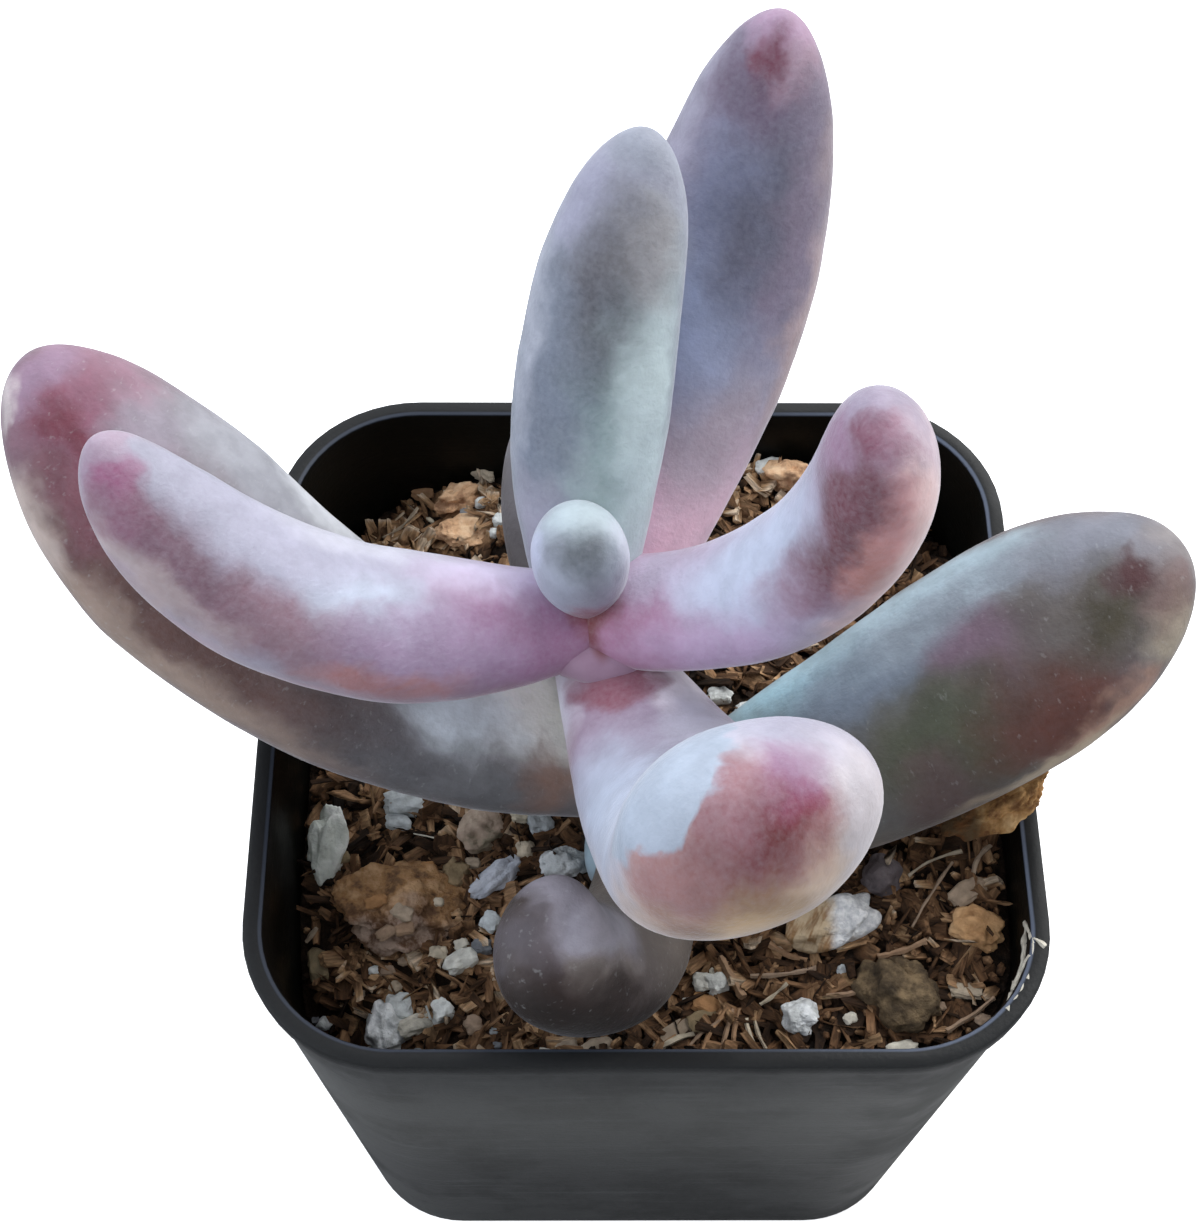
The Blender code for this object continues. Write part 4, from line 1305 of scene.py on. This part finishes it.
# Height and radius of each of its rings
STEM_ROUNDS = (
    (21.2, 0.05), (22.0, 0.6), (25.0, 1.3), (31.0, 2.3), (37.0, 3.1), (42.0, 3.2), (46.0, 3.2), (50.0, 3.1),
    (54.0, 3.0), (59.0, 2.8), (60.6, 2.3), (61.5, 1.4), (61.9, 0.05),
)


def stem_at(height):
    share = (height - STEM_LOW.z) / (STEM_HIGH.z - STEM_LOW.z)
    return STEM_LOW + (STEM_HIGH - STEM_LOW) * share


def stem_ring(height, radius):
    middle = stem_at(height)
    angles = [2 * math.pi * i / STEM_SIDES for i in range(STEM_SIDES)]
    return [middle + Vector((math.cos(a), math.sin(a), 0)) * radius for a in angles]


COLLAR_MIDDLE = Vector((-3.2, -3.7, 60.3))
COLLAR_HALF = (3.4, 1.7, 1.6)
COLLAR_FINE, COLLAR_DENT = 0.5, 0.12
PINK_FROM, PINK_TO = 54.0, 58.0  # heights between which the green turns pink


def stem_skin():
    material, tree, shader = new_material(
        "stem_skin", Roughness=0.6, Specular_IOR_Level=0.3, Sheen_Weight=0.4,
    )
    place = in_millimetres(tree)
    height = part(tree, place, "Z")
    cloud = mottle(tree, place, 1.8, 4.0)
    green = blend(tree, cloud, rgb(104, 98, 78), rgb(168, 172, 156))
    pink = blend(tree, cloud, rgb(140, 108, 130), rgb(168, 140, 160))
    colour = blend(tree, between(tree, height, PINK_FROM, PINK_TO), green, pink)
    nick = use_group(tree, SOFT_PATCH, {
        "Place": place, "Centre": (-3.1, -3.2, 61.9), "Reach": (0.7, 1.2, 1.6), "Strength": 0.85,
    })
    connect(tree, shader, blend(tree, nick, colour, rgb(118, 56, 50)), None, cloud, 0.1)
    return material


def collar_shape():
    """A soft fold where the roots of the upper leaves meet."""
    shape = bmesh.new()
    bmesh.ops.create_icosphere(shape, subdivisions=4, radius=1.0)
    bmesh.ops.scale(shape, vec=COLLAR_HALF, verts=shape.verts)
    for vert in shape.verts:
        vert.co *= 1 + COLLAR_DENT * noise.noise(vert.co * COLLAR_FINE)
    bmesh.ops.translate(shape, vec=COLLAR_MIDDLE, verts=shape.verts)
    return shape


STEM_SKIN = stem_skin()
finish_piece("short_stem", lofted([stem_ring(*row) for row in STEM_ROUNDS]), STEM_SKIN, ["stem"])
finish_piece("crown_fold", collar_shape(), STEM_SKIN)

# %% [markdown]
# ## The leaves
#
# A leaf swells from its root, curves up and ends in a blunt tip with a tiny point. Its
# middle line is walked in small steps while its heading and its climb change. A fine
# sphere is then drawn out along that line, which closes both ends without seams. Each
# vertex also keeps where it would be if the leaf were laid out straight, so that colours
# can be placed along and round the leaf.

# %% The table of leaves


@dataclass
class Leaf:
    """One finger-shaped leaf. Angles are degrees, and headings run from +X towards +Y."""

    name: str
    root_height: float  # where it leaves the stem
    root_shift: tuple  # from the stem's axis, in x and y
    heading: float
    turn: float  # change of heading from root to tip
    turn_power: float
    climb_root: float
    climb_tip: float
    climb_power: float
    length: float
    half_width: float
    flatness: float  # thickness as a share of the width
    root_share: float  # root's width as a share of the widest
    widest_at: float  # share of the length
    bluntness: float


LEAVES = (
    Leaf(
        "leaf_bud", 59.7, (-0.8, 2.7), 182.5, 0.0, 1.0, 80.0, 88.0, 1.0,
        11.1, 3.4, 0.96, 0.30, 0.60, 2.3,
    ),
    Leaf(
        "leaf_left_high", 60.7, (-0.7, 1.9), 196.1, -57.6, 1.5, 6.9, 61.0, 1.56,
        37.95, 5.4, 0.85, 0.58, 0.40, 2.66,
    ),
    Leaf(
        "leaf_right_high", 60.9, (-0.5, 2.3), -14.9, 21.1, 1.2, 9.1, 104.4, 0.97,
        34.15, 5.23, 0.77, 0.75, 0.60, 3.63,
    ),
    Leaf(
        "leaf_front", 57.7, (-0.2, 0.3), 293.0, -2.7, 1.06, -5.4, 113.5, 1.3,
        35.9, 8.36, 0.70, 0.44, 0.78, 2.8,
    ),
    Leaf(
        "leaf_back_middle", 57.8, (-1.3, 0.3), 95.4, -39.7, 1.31, 44.0, 62.2, 1.0,
        36.5, 5.35, 0.82, 0.38, 0.48, 2.54,
    ),
    Leaf(
        "leaf_back_tall", 55.0, (-1.1, 1.6), 69.6, -4.9, 0.96, 22.7, 71.6, 1.1,
        47.15, 6.9, 0.77, 0.37, 0.60, 1.5,
    ),
    Leaf(
        "leaf_back_low", 50.0, (-1.0, 1.5), 103.0, 0.0, 1.0, 12.0, 45.0, 1.0,
        22.0, 4.3, 0.85, 0.50, 0.55, 2.1,
    ),
    Leaf(
        "leaf_left_low", 46.3, (0.0, -0.3), 185.7, -49.2, 0.78, 16.4, 49.8, 1.09,
        51.3, 8.68, 0.72, 0.57, 0.68, 1.49,
    ),
    Leaf(
        "leaf_right_low", 41.2, (-1.1, -4.7), -13.0, 36.6, 0.31, 18.4, 34.1, 0.3,
        46.3, 8.38, 0.71, 0.45, 0.68, 2.02,
    ),
    Leaf(
        "leaf_front_low", 43.1, (0.0, -1.9), 286.5, -122.9, 1.56, -11.1, 78.4, 1.06,
        27.7, 5.43, 0.74, 0.30, 0.85, 2.78,
    ),
)

# %% The form of a leaf
STEPS = 400


def leaf_direction(leaf, share):
    """Unit vectors along the leaf, across it and out of its upper face."""
    heading = math.radians(leaf.heading + leaf.turn * share ** leaf.turn_power)
    climb = math.radians(mix(leaf.climb_root, leaf.climb_tip, share ** leaf.climb_power))
    along = Vector((
        math.cos(climb) * math.cos(heading),
        math.cos(climb) * math.sin(heading),
        math.sin(climb),
    ))
    across = Vector((math.sin(heading), -math.cos(heading), 0))
    return along, across, across.cross(along)


def leaf_width(leaf, share):
    """Half the width at this share of the length: it swells from the root, then rounds off."""
    if share < leaf.widest_at:
        return leaf.half_width * mix(leaf.root_share, 1.0, math.sin(math.pi / 2 * share / leaf.widest_at))
    past = (share - leaf.widest_at) / (1 - leaf.widest_at)
    return leaf.half_width * math.sqrt(max(0.0, 1 - past ** leaf.bluntness))


def leaf_middles(leaf):
    """Points on the leaf's curved middle line, one a step."""
    here = stem_at(leaf.root_height) + Vector((*leaf.root_shift, 0))
    middles = [here.copy()]
    for i in range(STEPS):
        here += leaf_direction(leaf, (i + 0.5) / STEPS)[0] * leaf.length / STEPS
        middles.append(here.copy())
    return middles


def on_middle(middles, share):
    step = min(STEPS - 1, int(share * STEPS))
    return middles[step].lerp(middles[step + 1], share * STEPS - step)


# %% Draw a sphere out into a leaf
LEAF_SIDES = 72
LEAF_RINGS = 112
ROOT_CAP = 0.05  # share of the rings that round off the root's end
LOW_RINGS = 0.45  # share of the rings up to the widest place
ROOT_BULGE = 0.35  # how far the root's end bulges back, as a share of its half width
UNEVEN = ((7.0, 0.16), (3.0, 0.05), (1.3, 0.016))  # wavelength and height of its slight dents
LEAST_DENT = 0.1


def ring_share(leaf, ring):
    """The place along the leaf of a ring from 0 to 1. Rings crowd towards the tip."""
    if ring < LOW_RINGS:
        return leaf.widest_at * ring / LOW_RINGS
    return mix(leaf.widest_at, 1.0, math.sin(math.pi / 2 * (ring - LOW_RINGS) / (1 - LOW_RINGS)))


def leaf_shape(leaf):
    shape = bmesh.new()
    bmesh.ops.create_uvsphere(shape, u_segments=LEAF_SIDES, v_segments=LEAF_RINGS, radius=1.0)
    straight = shape.verts.layers.float_vector.new("straight")
    middles = leaf_middles(leaf)
    for vert in shape.verts:
        ring = math.acos(max(-1.0, min(1.0, -vert.co.z))) / math.pi
        angle = math.atan2(vert.co.y, vert.co.x)
        share = ring_share(leaf, max(0.0, (ring - ROOT_CAP) / (1 - ROOT_CAP)))
        along, across, upward = leaf_direction(leaf, share)
        cap = max(0.0, 1 - ring / ROOT_CAP) * math.pi / 2
        half = leaf_width(leaf, share) * math.cos(cap)
        behind = leaf_width(leaf, 0.0) * ROOT_BULGE * math.sin(cap)
        side, rise = half * math.cos(angle), half * leaf.flatness * math.sin(angle)
        vert[straight] = (share * leaf.length - behind, side, rise)
        vert.co = on_middle(middles, share) + across * side + upward * rise - along * behind
    face_outwards(shape)
    dents = [vert.normal * leaf_dent(vert.co) for vert in shape.verts]
    for vert, dent in zip(shape.verts, dents):
        vert.co += dent
    return shape


def leaf_dent(place):
    """The dents all go inwards, so that the leaf stays inside its plain solid."""
    return sum(height * noise.noise(place / size) for size, height in UNEVEN) - LEAST_DENT


# %% [markdown]
# ## The skin of a leaf
#
# Under the powder the flesh is green to purple. Sun turns tips and edges pink, and where
# something rubbed the powder off, the deep colour shows with a sharp edge. Each leaf
# therefore has a colour for its root, middle, tip and underside, and a short list of
# patches that are placed along it and round it. A few patches are painted light and shade:
# paler roots and lower edges where light falls, and a darker foot where a leaf rests on the
# soil.

# %% What a skin needs


@dataclass
class Skin:
    """The ground of a leaf. Its four colours are as on a paint chart."""

    root: tuple
    middle: tuple
    tip: tuple
    under: tuple
    powder: float
    sheen: float = 0.6
    marks: float = 0.05  # how much the fine scars show


@dataclass
class Patch:
    """A blush, a rubbed place, a spot, or a patch of painted light or painted shade. The angle is 0 on the
    right edge and 90 on top.
    """

    mark: str  # what it is
    share: float  # along the leaf
    angle: float
    along: float  # reach along the leaf, in millimetres
    around: float  # reach round it
    colour: tuple
    strength: float = 0.85
    softness: float = 0.6


# %% The grounds
SKINS = {
    "leaf_bud": Skin((156, 124, 142), (146, 140, 154), (150, 160, 168), (160, 166, 180), 0.6),
    "leaf_left_high": Skin((160, 122, 148), (168, 166, 184), (154, 152, 167), (172, 134, 146), 0.6),
    "leaf_right_high": Skin((168, 132, 156), (176, 176, 196), (150, 130, 148), (190, 170, 178), 0.6),
    "leaf_front": Skin((150, 122, 142), (150, 150, 166), (176, 174, 188), (190, 164, 144), 0.6),
    "leaf_back_middle": Skin((180, 190, 196), (112, 122, 132), (146, 146, 160), (176, 184, 194), 0.6),
    "leaf_back_tall": Skin((222, 182, 204), (140, 142, 164), (116, 104, 122), (160, 144, 152), 0.5),
    "leaf_back_low": Skin((104, 98, 96), (104, 100, 100), (112, 108, 112), (92, 84, 78), 0.2, sheen=0.3),
    "leaf_left_low": Skin(
        (120, 112, 114), (108, 94, 92), (122, 96, 106), (120, 108, 112), 0.28, sheen=0.38, marks=0.18,
    ),
    "leaf_right_low": Skin(
        (140, 160, 172), (96, 92, 88), (110, 102, 104), (110, 92, 76), 0.16, sheen=0.25, marks=0.13,
    ),
    "leaf_front_low": Skin(
        (90, 80, 70), (96, 88, 82), (92, 84, 88), (46, 34, 22), 0.06, sheen=0.13, marks=0.16,
    ),
}

# %% The patches
# What it is, share of the length, angle, reach along and round the leaf, colour, strength, softness
PATCHES = {
    "leaf_bud": (
        ("rose foot", 0.4, 182, 1.6, 1.6, (150, 98, 110)),
        ("lavender side", 0.72, 262, 3.2, 1.5, (182, 188, 208)),
        ("pale right side", 0.72, 88, 3.2, 1.6, (200, 204, 214)),
        ("bare middle", 0.92, 182, 2.1, 2.0, (88, 93, 98), 0.9, 0.8),
        ("powder cap", 0.94, 20, 2.0, 2.6, (174, 188, 193)),
    ),
    "leaf_left_high": (
        ("lilac top of the root", 0.17, 70, 6, 2.8, (216, 204, 228), 0.9),
        ("pink root", 0.16, 128, 6.5, 3.4, (146, 102, 134), 0.9),
        ("crevice", 0.02, 120, 1.7, 2.4, (130, 52, 46), 0.92),
        ("white shoulder", 0.43, 114, 4.5, 2.2, (186, 194, 210)),
        ("bright upper edge", 0.46, 40, 7, 2.2, (194, 193, 204), 0.8),
        ("pink flank", 0.57, 144, 9, 2.5, (137, 102, 113), 0.9),
        ("mauve flank near the root", 0.33, 138, 6, 2.4, (157, 133, 161)),
        ("pink flank near the tip", 0.79, 134, 6, 2.6, (115, 83, 96), 0.9),
        ("orange lower edge", 0.39, 172, 4.5, 1.4, (172, 118, 118), 0.9),
        # Painted light: the pale lower edge stands in for light thrown up from below onto the lower edge.
        ("pale lower edge", 0.78, 172, 7, 1.5, (178, 160, 160)),
        ("rose beside the tip", 0.9, 138, 3, 2, (130, 86, 106)),
        ("magenta tip", 0.95, 126, 1.7, 1.6, (142, 84, 116), 0.9, 0.7),
        ("pale end", 1, 60, 1.2, 2, (159, 135, 152), 0.8),
    ),
    "leaf_right_high": (
        ("lilac top", 0.16, 92, 4, 2.6, (186, 175, 197)),
        ("pink root", 0.12, 28, 4.5, 3.2, (160, 107, 138)),
        ("lilac lower side", 0.3, 16, 6, 2.4, (178, 152, 181)),
        ("crevice", 0.03, 50, 1.5, 2.4, (108, 40, 34), 0.92),
        ("white face", 0.5, 80, 8, 2.8, (180, 187, 206), 0.9),
        ("mauve start of the flank", 0.58, 30, 3.5, 2.4, (143, 111, 129)),
        ("rose flank", 0.76, 30, 6.5, 2.7, (96, 50, 55), 0.95),
        ("orange flank", 0.75, -4, 4.5, 1.7, (190, 133, 125), 0.9),
        ("peach side of the tip", 0.86, -12, 3.5, 1.9, (208, 153, 153)),
        ("rose tip", 0.9, 40, 3.4, 2.6, (102, 55, 65), 0.9),
        ("mauve beside the tip", 0.93, 95, 2.6, 1.8, (146, 112, 136)),
        ("pale edge", 0.72, -45, 8, 2, (226, 194, 190)),
        ("pale end", 0.98, 190, 1.5, 3.4, (144, 133, 151)),
        ("pink lip", 0.98, -38, 1.6, 1.6, (144, 100, 118), 0.8),
        ("magenta tip", 0.99, 45, 1.5, 1.3, (106, 38, 62), 0.92, 0.8),
    ),
    "leaf_front": (
        ("white edge of the root", 0.04, 12, 3.2, 1.6, (238, 236, 248)),
        # Painted light: the pale top of the root is painted paler than the flesh, to make up for the shade at
        # the crown.
        ("pale top of the root", 0.16, 126, 3.2, 2.2, (250, 244, 250), 0.9),
        ("red root", 0.09, 84, 3.0, 3.0, (136, 80, 94), 0.95, 0.3),
        ("pale shoulder", 0.32, 120, 5, 2.4, (180, 178, 192)),
        ("white face", 0.5, 40, 9, 4, (172, 182, 200), 0.9),
        ("pale end", 0.95, 165, 2.6, 4.2, (157, 153, 170), 0.9),
        ("pale cheek", 0.89, 222, 4, 4.2, (192, 185, 190), 0.9),
        ("tan foot", 0.85, 290, 4.6, 4.6, (164, 130, 94), 0.92),
        ("cream lower edge", 0.76, 294, 2, 3.6, (211, 177, 132)),
        ("cream right lower edge", 0.85, 254, 2.6, 2, (213, 188, 166)),
        ("orange lower left edge", 0.73, 312, 2, 2, (130, 90, 62), 0.8),
        ("rose lower cheek", 0.88, 322, 4, 3.4, (154, 110, 111), 0.9),
        ("rubbed rose", 0.94, 288, 3, 3.2, (132, 87, 91), 0.92),
        ("rubbed middle", 0.96, 268, 2.6, 2.6, (125, 67, 79), 0.9, 0.5),
        ("rose right side", 0.92, 255, 2.2, 2.2, (144, 94, 99), 0.8),
        ("dark red", 0.94, 266, 1.9, 1.5, (105, 35, 34), 0.92, 0.8),
        ("magenta", 0.97, 253, 1.3, 1.3, (124, 38, 67), 0.92, 0.8),
        ("rose beside the white", 0.985, 310, 2.9, 2.3, (140, 98, 106), 0.9),
        ("white cheek", 0.93, 42, 6.9, 5.5, (158, 169, 184), 0.97, 0.06),
        ("lilac above the tip", 0.99, 230, 1.9, 1.9, (138, 102, 132), 0.85, 0.8),
    ),
    "leaf_back_middle": (
        ("teal root", 0.34, 70, 5, 3.2, (192, 207, 204)),
        ("teal flank", 0.48, 64, 8, 2.6, (116, 138, 139), 0.9, 0.9),
        ("pale right side", 0.54, 40, 11, 2.4, (197, 213, 212), 0.92, 0.9),
        ("grey right side above", 0.8, 50, 4, 2.2, (152, 148, 149)),
        ("dark crest", 0.72, 84, 5.5, 2.3, (78, 75, 80), 0.9, 0.9),
        ("blue-grey left side", 0.5, 126, 9, 2.6, (102, 110, 125), 0.85, 0.9),
        ("pale left edge", 0.64, 152, 10, 1.3, (170, 173, 184), 0.7, 0.9),
        ("lilac left of the end", 0.86, 130, 3, 2, (148, 147, 167), 0.8),
        ("pale end", 0.98, 90, 1.8, 3.6, (140, 144, 156)),
        ("lavender root", 0.26, 134, 3.5, 2.2, (154, 151, 166), 0.8),
    ),
    "leaf_back_tall": (
        ("pink root", 0.28, 50, 5, 5, (234, 194, 208), 0.8),
        ("mauve lower middle", 0.38, 62, 5, 4, (166, 154, 163)),
        ("blue middle", 0.56, 80, 6.5, 3.2, (160, 169, 197), 0.9),
        ("dark middle", 0.72, 62, 8, 2.6, (96, 95, 112), 0.9),
        ("blue left side", 0.76, 96, 5, 2.4, (115, 119, 143)),
        ("mauve right side", 0.72, 34, 9, 2, (126, 112, 130), 0.8),
        ("pale right edge", 0.55, 6, 8, 1.8, (176, 152, 152)),
        ("grey right edge above", 0.8, 0, 5, 1.4, (146, 130, 136), 0.8),
        ("pale left edge", 0.84, 148, 6, 1.7, (150, 146, 162)),
        ("pale left edge low", 0.52, 110, 6, 1.6, (186, 190, 206), 0.8),
        ("mauve under the tip", 0.89, 92, 2.5, 3, (93, 76, 96), 0.8),
        ("pink tip right", 0.95, 46, 2.4, 2, (166, 138, 153)),
        ("pink end", 0.98, 70, 1.4, 3, (170, 140, 164)),
        ("red tip", 0.94, 82, 1.8, 1.1, (100, 40, 60), 0.92, 0.8),
    ),
    "leaf_back_low": (),
    "leaf_left_low": (
        # Painted light: the cream root and the white shoulder are painted near white, to lift the shade that
        # the leaf above casts on them.
        ("cream root", 0.16, 88, 6.5, 4.2, (255, 255, 253), 1.0),
        ("white shoulder of the root", 0.25, 112, 4, 2.2, (224, 235, 244), 0.9, 0.85),
        ("grey flank of the root", 0.22, 160, 8, 3, (104, 106, 109)),
        ("brown root", 0.12, 140, 1.8, 2.4, (142, 110, 96), 0.85, 0.7),
        ("dark flank", 0.36, 150, 6, 2.4, (82, 79, 82), 0.8),
        ("pale upper side", 0.68, 45, 10, 5.5, (154, 156, 163), 0.9),
        ("bright upper edge", 0.54, 28, 5, 2.4, (208, 211, 215)),
        ("brown flank", 0.67, 148, 13, 2.6, (94, 66, 59), 0.9),
        ("tan lower edge", 0.66, 176, 14, 2.0, (154, 134, 121), 0.9),
        # Painted light: the pale corner of the lower edge stands in for light thrown up from below.
        ("pale corner of the lower edge", 0.84, 182, 4, 2, (190, 174, 166), 0.8),
        ("pink top of the tip", 0.93, 62, 4, 4.6, (147, 112, 128), 0.9),
        ("rose tip", 0.9, 100, 5, 4.2, (128, 79, 98), 0.9),
        ("lilac end", 0.98, 105, 1.6, 3, (143, 118, 140), 0.8),
        ("dark rose flank", 0.83, 138, 3.5, 1.8, (117, 70, 80)),
        ("grey spot beside the tip", 0.84, 76, 2.6, 2.6, (144, 138, 149), 0.8),
        ("red streak", 0.91, 116, 4, 1.5, (104, 47, 60), 0.9),
        # Painted light: the pale rim by the tip stands in for light thrown up from below.
        ("pale rim", 0.97, 180, 1.8, 1.1, (196, 184, 184)),
    ),
    "leaf_right_low": (
        ("teal root", 0.44, 128, 8, 3.2, (180, 224, 240), 0.92),
        ("blue-grey root", 0.5, 102, 7, 3, (120, 135, 151)),
        ("blue-grey upper side", 0.66, 116, 9, 3, (148, 161, 172), 0.9),
        ("pale upper edge", 0.62, 138, 10, 2, (172, 194, 204)),
        ("grey end", 0.9, 112, 5, 3, (123, 126, 137), 0.9),
        ("pale end", 1, 120, 1.6, 2.6, (138, 132, 131), 0.8),
        ("mauve middle", 0.69, 84, 3.4, 2.4, (120, 98, 115), 0.88, 0.7),
        ("olive front", 0.58, 48, 5.5, 4, (70, 75, 55), 0.9),
        ("purple-grey foot", 0.53, 22, 3.5, 2.6, (92, 72, 72), 0.8),
        ("maroon front", 0.73, 40, 4.6, 3.6, (83, 51, 42), 0.9),
        ("red-brown edge", 0.75, 26, 5, 1.8, (92, 52, 43)),
        ("olive near the tip", 0.87, 60, 3.2, 2.8, (55, 49, 27), 0.9, 0.8),
        ("grey-brown middle", 0.79, 84, 3, 2.4, (89, 83, 79), 0.8),
        ("tan lower edge", 0.8, 6, 5, 1.2, (166, 131, 114), 0.9),
        ("pale lower edge", 0.7, -4, 6, 1.1, (186, 168, 144)),
        ("pale side of the tip", 0.93, 8, 2.6, 1.8, (160, 148, 130)),
        ("tan end", 0.95, 34, 2, 1.8, (106, 82, 78), 0.8),
        ("red tip", 0.93, 72, 1.5, 1.3, (62, 20, 24), 0.92),
    ),
    "leaf_front_low": (
        ("pale face", 0.86, 82, 5, 3, (174, 171, 183), 0.92),
        ("lilac shoulder", 0.96, 10, 1.8, 2.6, (136, 132, 141), 0.9),
        ("grey middle", 0.9, 118, 4.5, 1.6, (132, 122, 115), 0.8),
        ("grey left side", 0.98, 260, 1.6, 2.4, (82, 77, 82)),
        # Partly painted shade: the brown foot and the dark lower edge are the leaf's own dark brown, painted
        # darker still where it rests on the soil in shade.
        ("brown foot", 0.9, 168, 5.4, 3.2, (42, 22, 10), 0.9),
        ("dark edge below", 0.82, 188, 6, 3.2, (14, 5, 1), 0.9),
    ),
}

# %% Leaf material


def patch_place(leaf, patch):
    """The middle of a patch on the leaf laid out straight."""
    half = leaf_width(leaf, patch.share)
    angle = math.radians(patch.angle)
    return (patch.share * leaf.length, half * math.cos(angle), half * leaf.flatness * math.sin(angle))


POWDER = rgb(226, 230, 242)
SCAR = rgb(190, 192, 192)
COOL_SHEEN = (0.94, 0.95, 1.0, 1.0)
ROOT_FADE, TIP_FADE = (0.02, 0.5), (0.45, 0.98)  # shares of the length over which the ground changes
UNDER_FADE = (0.3, -0.8)  # the same for the underside, as shares of half the thickness
CLOUD_SIZE = 2.2
CLOUD_DEPTH, SCARRED_DEPTH = 0.07, 0.25  # how much the ground varies, and how much more where it is scarred
POWDER_SHARE = 0.16
GRAIN_SIZE = 0.42
SCAR_SIZE, SCAR_STRETCH = 0.6, (1.8, 1.0, 1.0)
SKIN_RELIEF = 0.09


def leaf_skin(leaf, skin):
    material, tree, shader = new_material(
        leaf.name + "_flesh", Specular_IOR_Level=0.3,
        Sheen_Weight=skin.sheen, Sheen_Roughness=0.28, Sheen_Tint=COOL_SHEEN,
    )
    straight = own_place(tree, "straight")
    place = wavered(tree, straight)
    parts = add(tree, "SeparateXYZ", {0: place})
    share = calc(tree, "DIVIDE", parts.outputs["X"], leaf.length)
    colour = blend(tree, between(tree, share, *ROOT_FADE), rgb(*skin.root), rgb(*skin.middle))
    colour = blend(tree, between(tree, share, *TIP_FADE), colour, rgb(*skin.tip))
    thick = leaf.half_width * leaf.flatness
    below = between(tree, parts.outputs["Z"], *(thick * share_of for share_of in UNDER_FADE))
    colour = blend(tree, below, colour, rgb(*skin.under))
    for patch in (Patch(*row) for row in PATCHES[leaf.name]):
        mask = use_group(tree, SOFT_PATCH, {
            "Place": place, "Centre": patch_place(leaf, patch),
            "Reach": (patch.along, patch.around, patch.around),
            "Softness": patch.softness, "Strength": patch.strength,
        })
        colour = blend(tree, mask, colour, rgb(*patch.colour))
        colour.node.label = patch.mark
    cloud = mottle(tree, straight, CLOUD_SIZE)
    uneven = CLOUD_DEPTH + SCARRED_DEPTH * skin.marks
    shade = grey(tree, between(tree, cloud, 0.3, 0.7, 1 - uneven, 1 + uneven))
    colour = blend(tree, 1.0, colour, shade, "MULTIPLY")
    grain = use_group(tree, POWDER_GRAIN, {"Place": straight, "Grain": GRAIN_SIZE, "Contrast": 0.6})
    powder = times(tree, grain, skin.powder * POWDER_SHARE)
    colour = blend(tree, powder, colour, POWDER)
    scar_place = stretched(tree, straight, SCAR_STRETCH)
    scars = between(tree, mottle(tree, scar_place, SCAR_SIZE, 2.0), 0.62, 0.76)
    colour = blend(tree, times(tree, scars, skin.marks), colour, SCAR)
    roughness = between(tree, grain, 0.0, 1.0, 0.52, 0.72)
    height = plus(tree, times(tree, cloud, 0.7), times(tree, grain, 0.3))
    connect(tree, shader, colour, roughness, height, SKIN_RELIEF)
    return material


for leaf in LEAVES:
    flesh = leaf_skin(leaf, SKINS[leaf.name])
    finish_piece(leaf.name + "_blade", leaf_shape(leaf), flesh, [leaf.name])
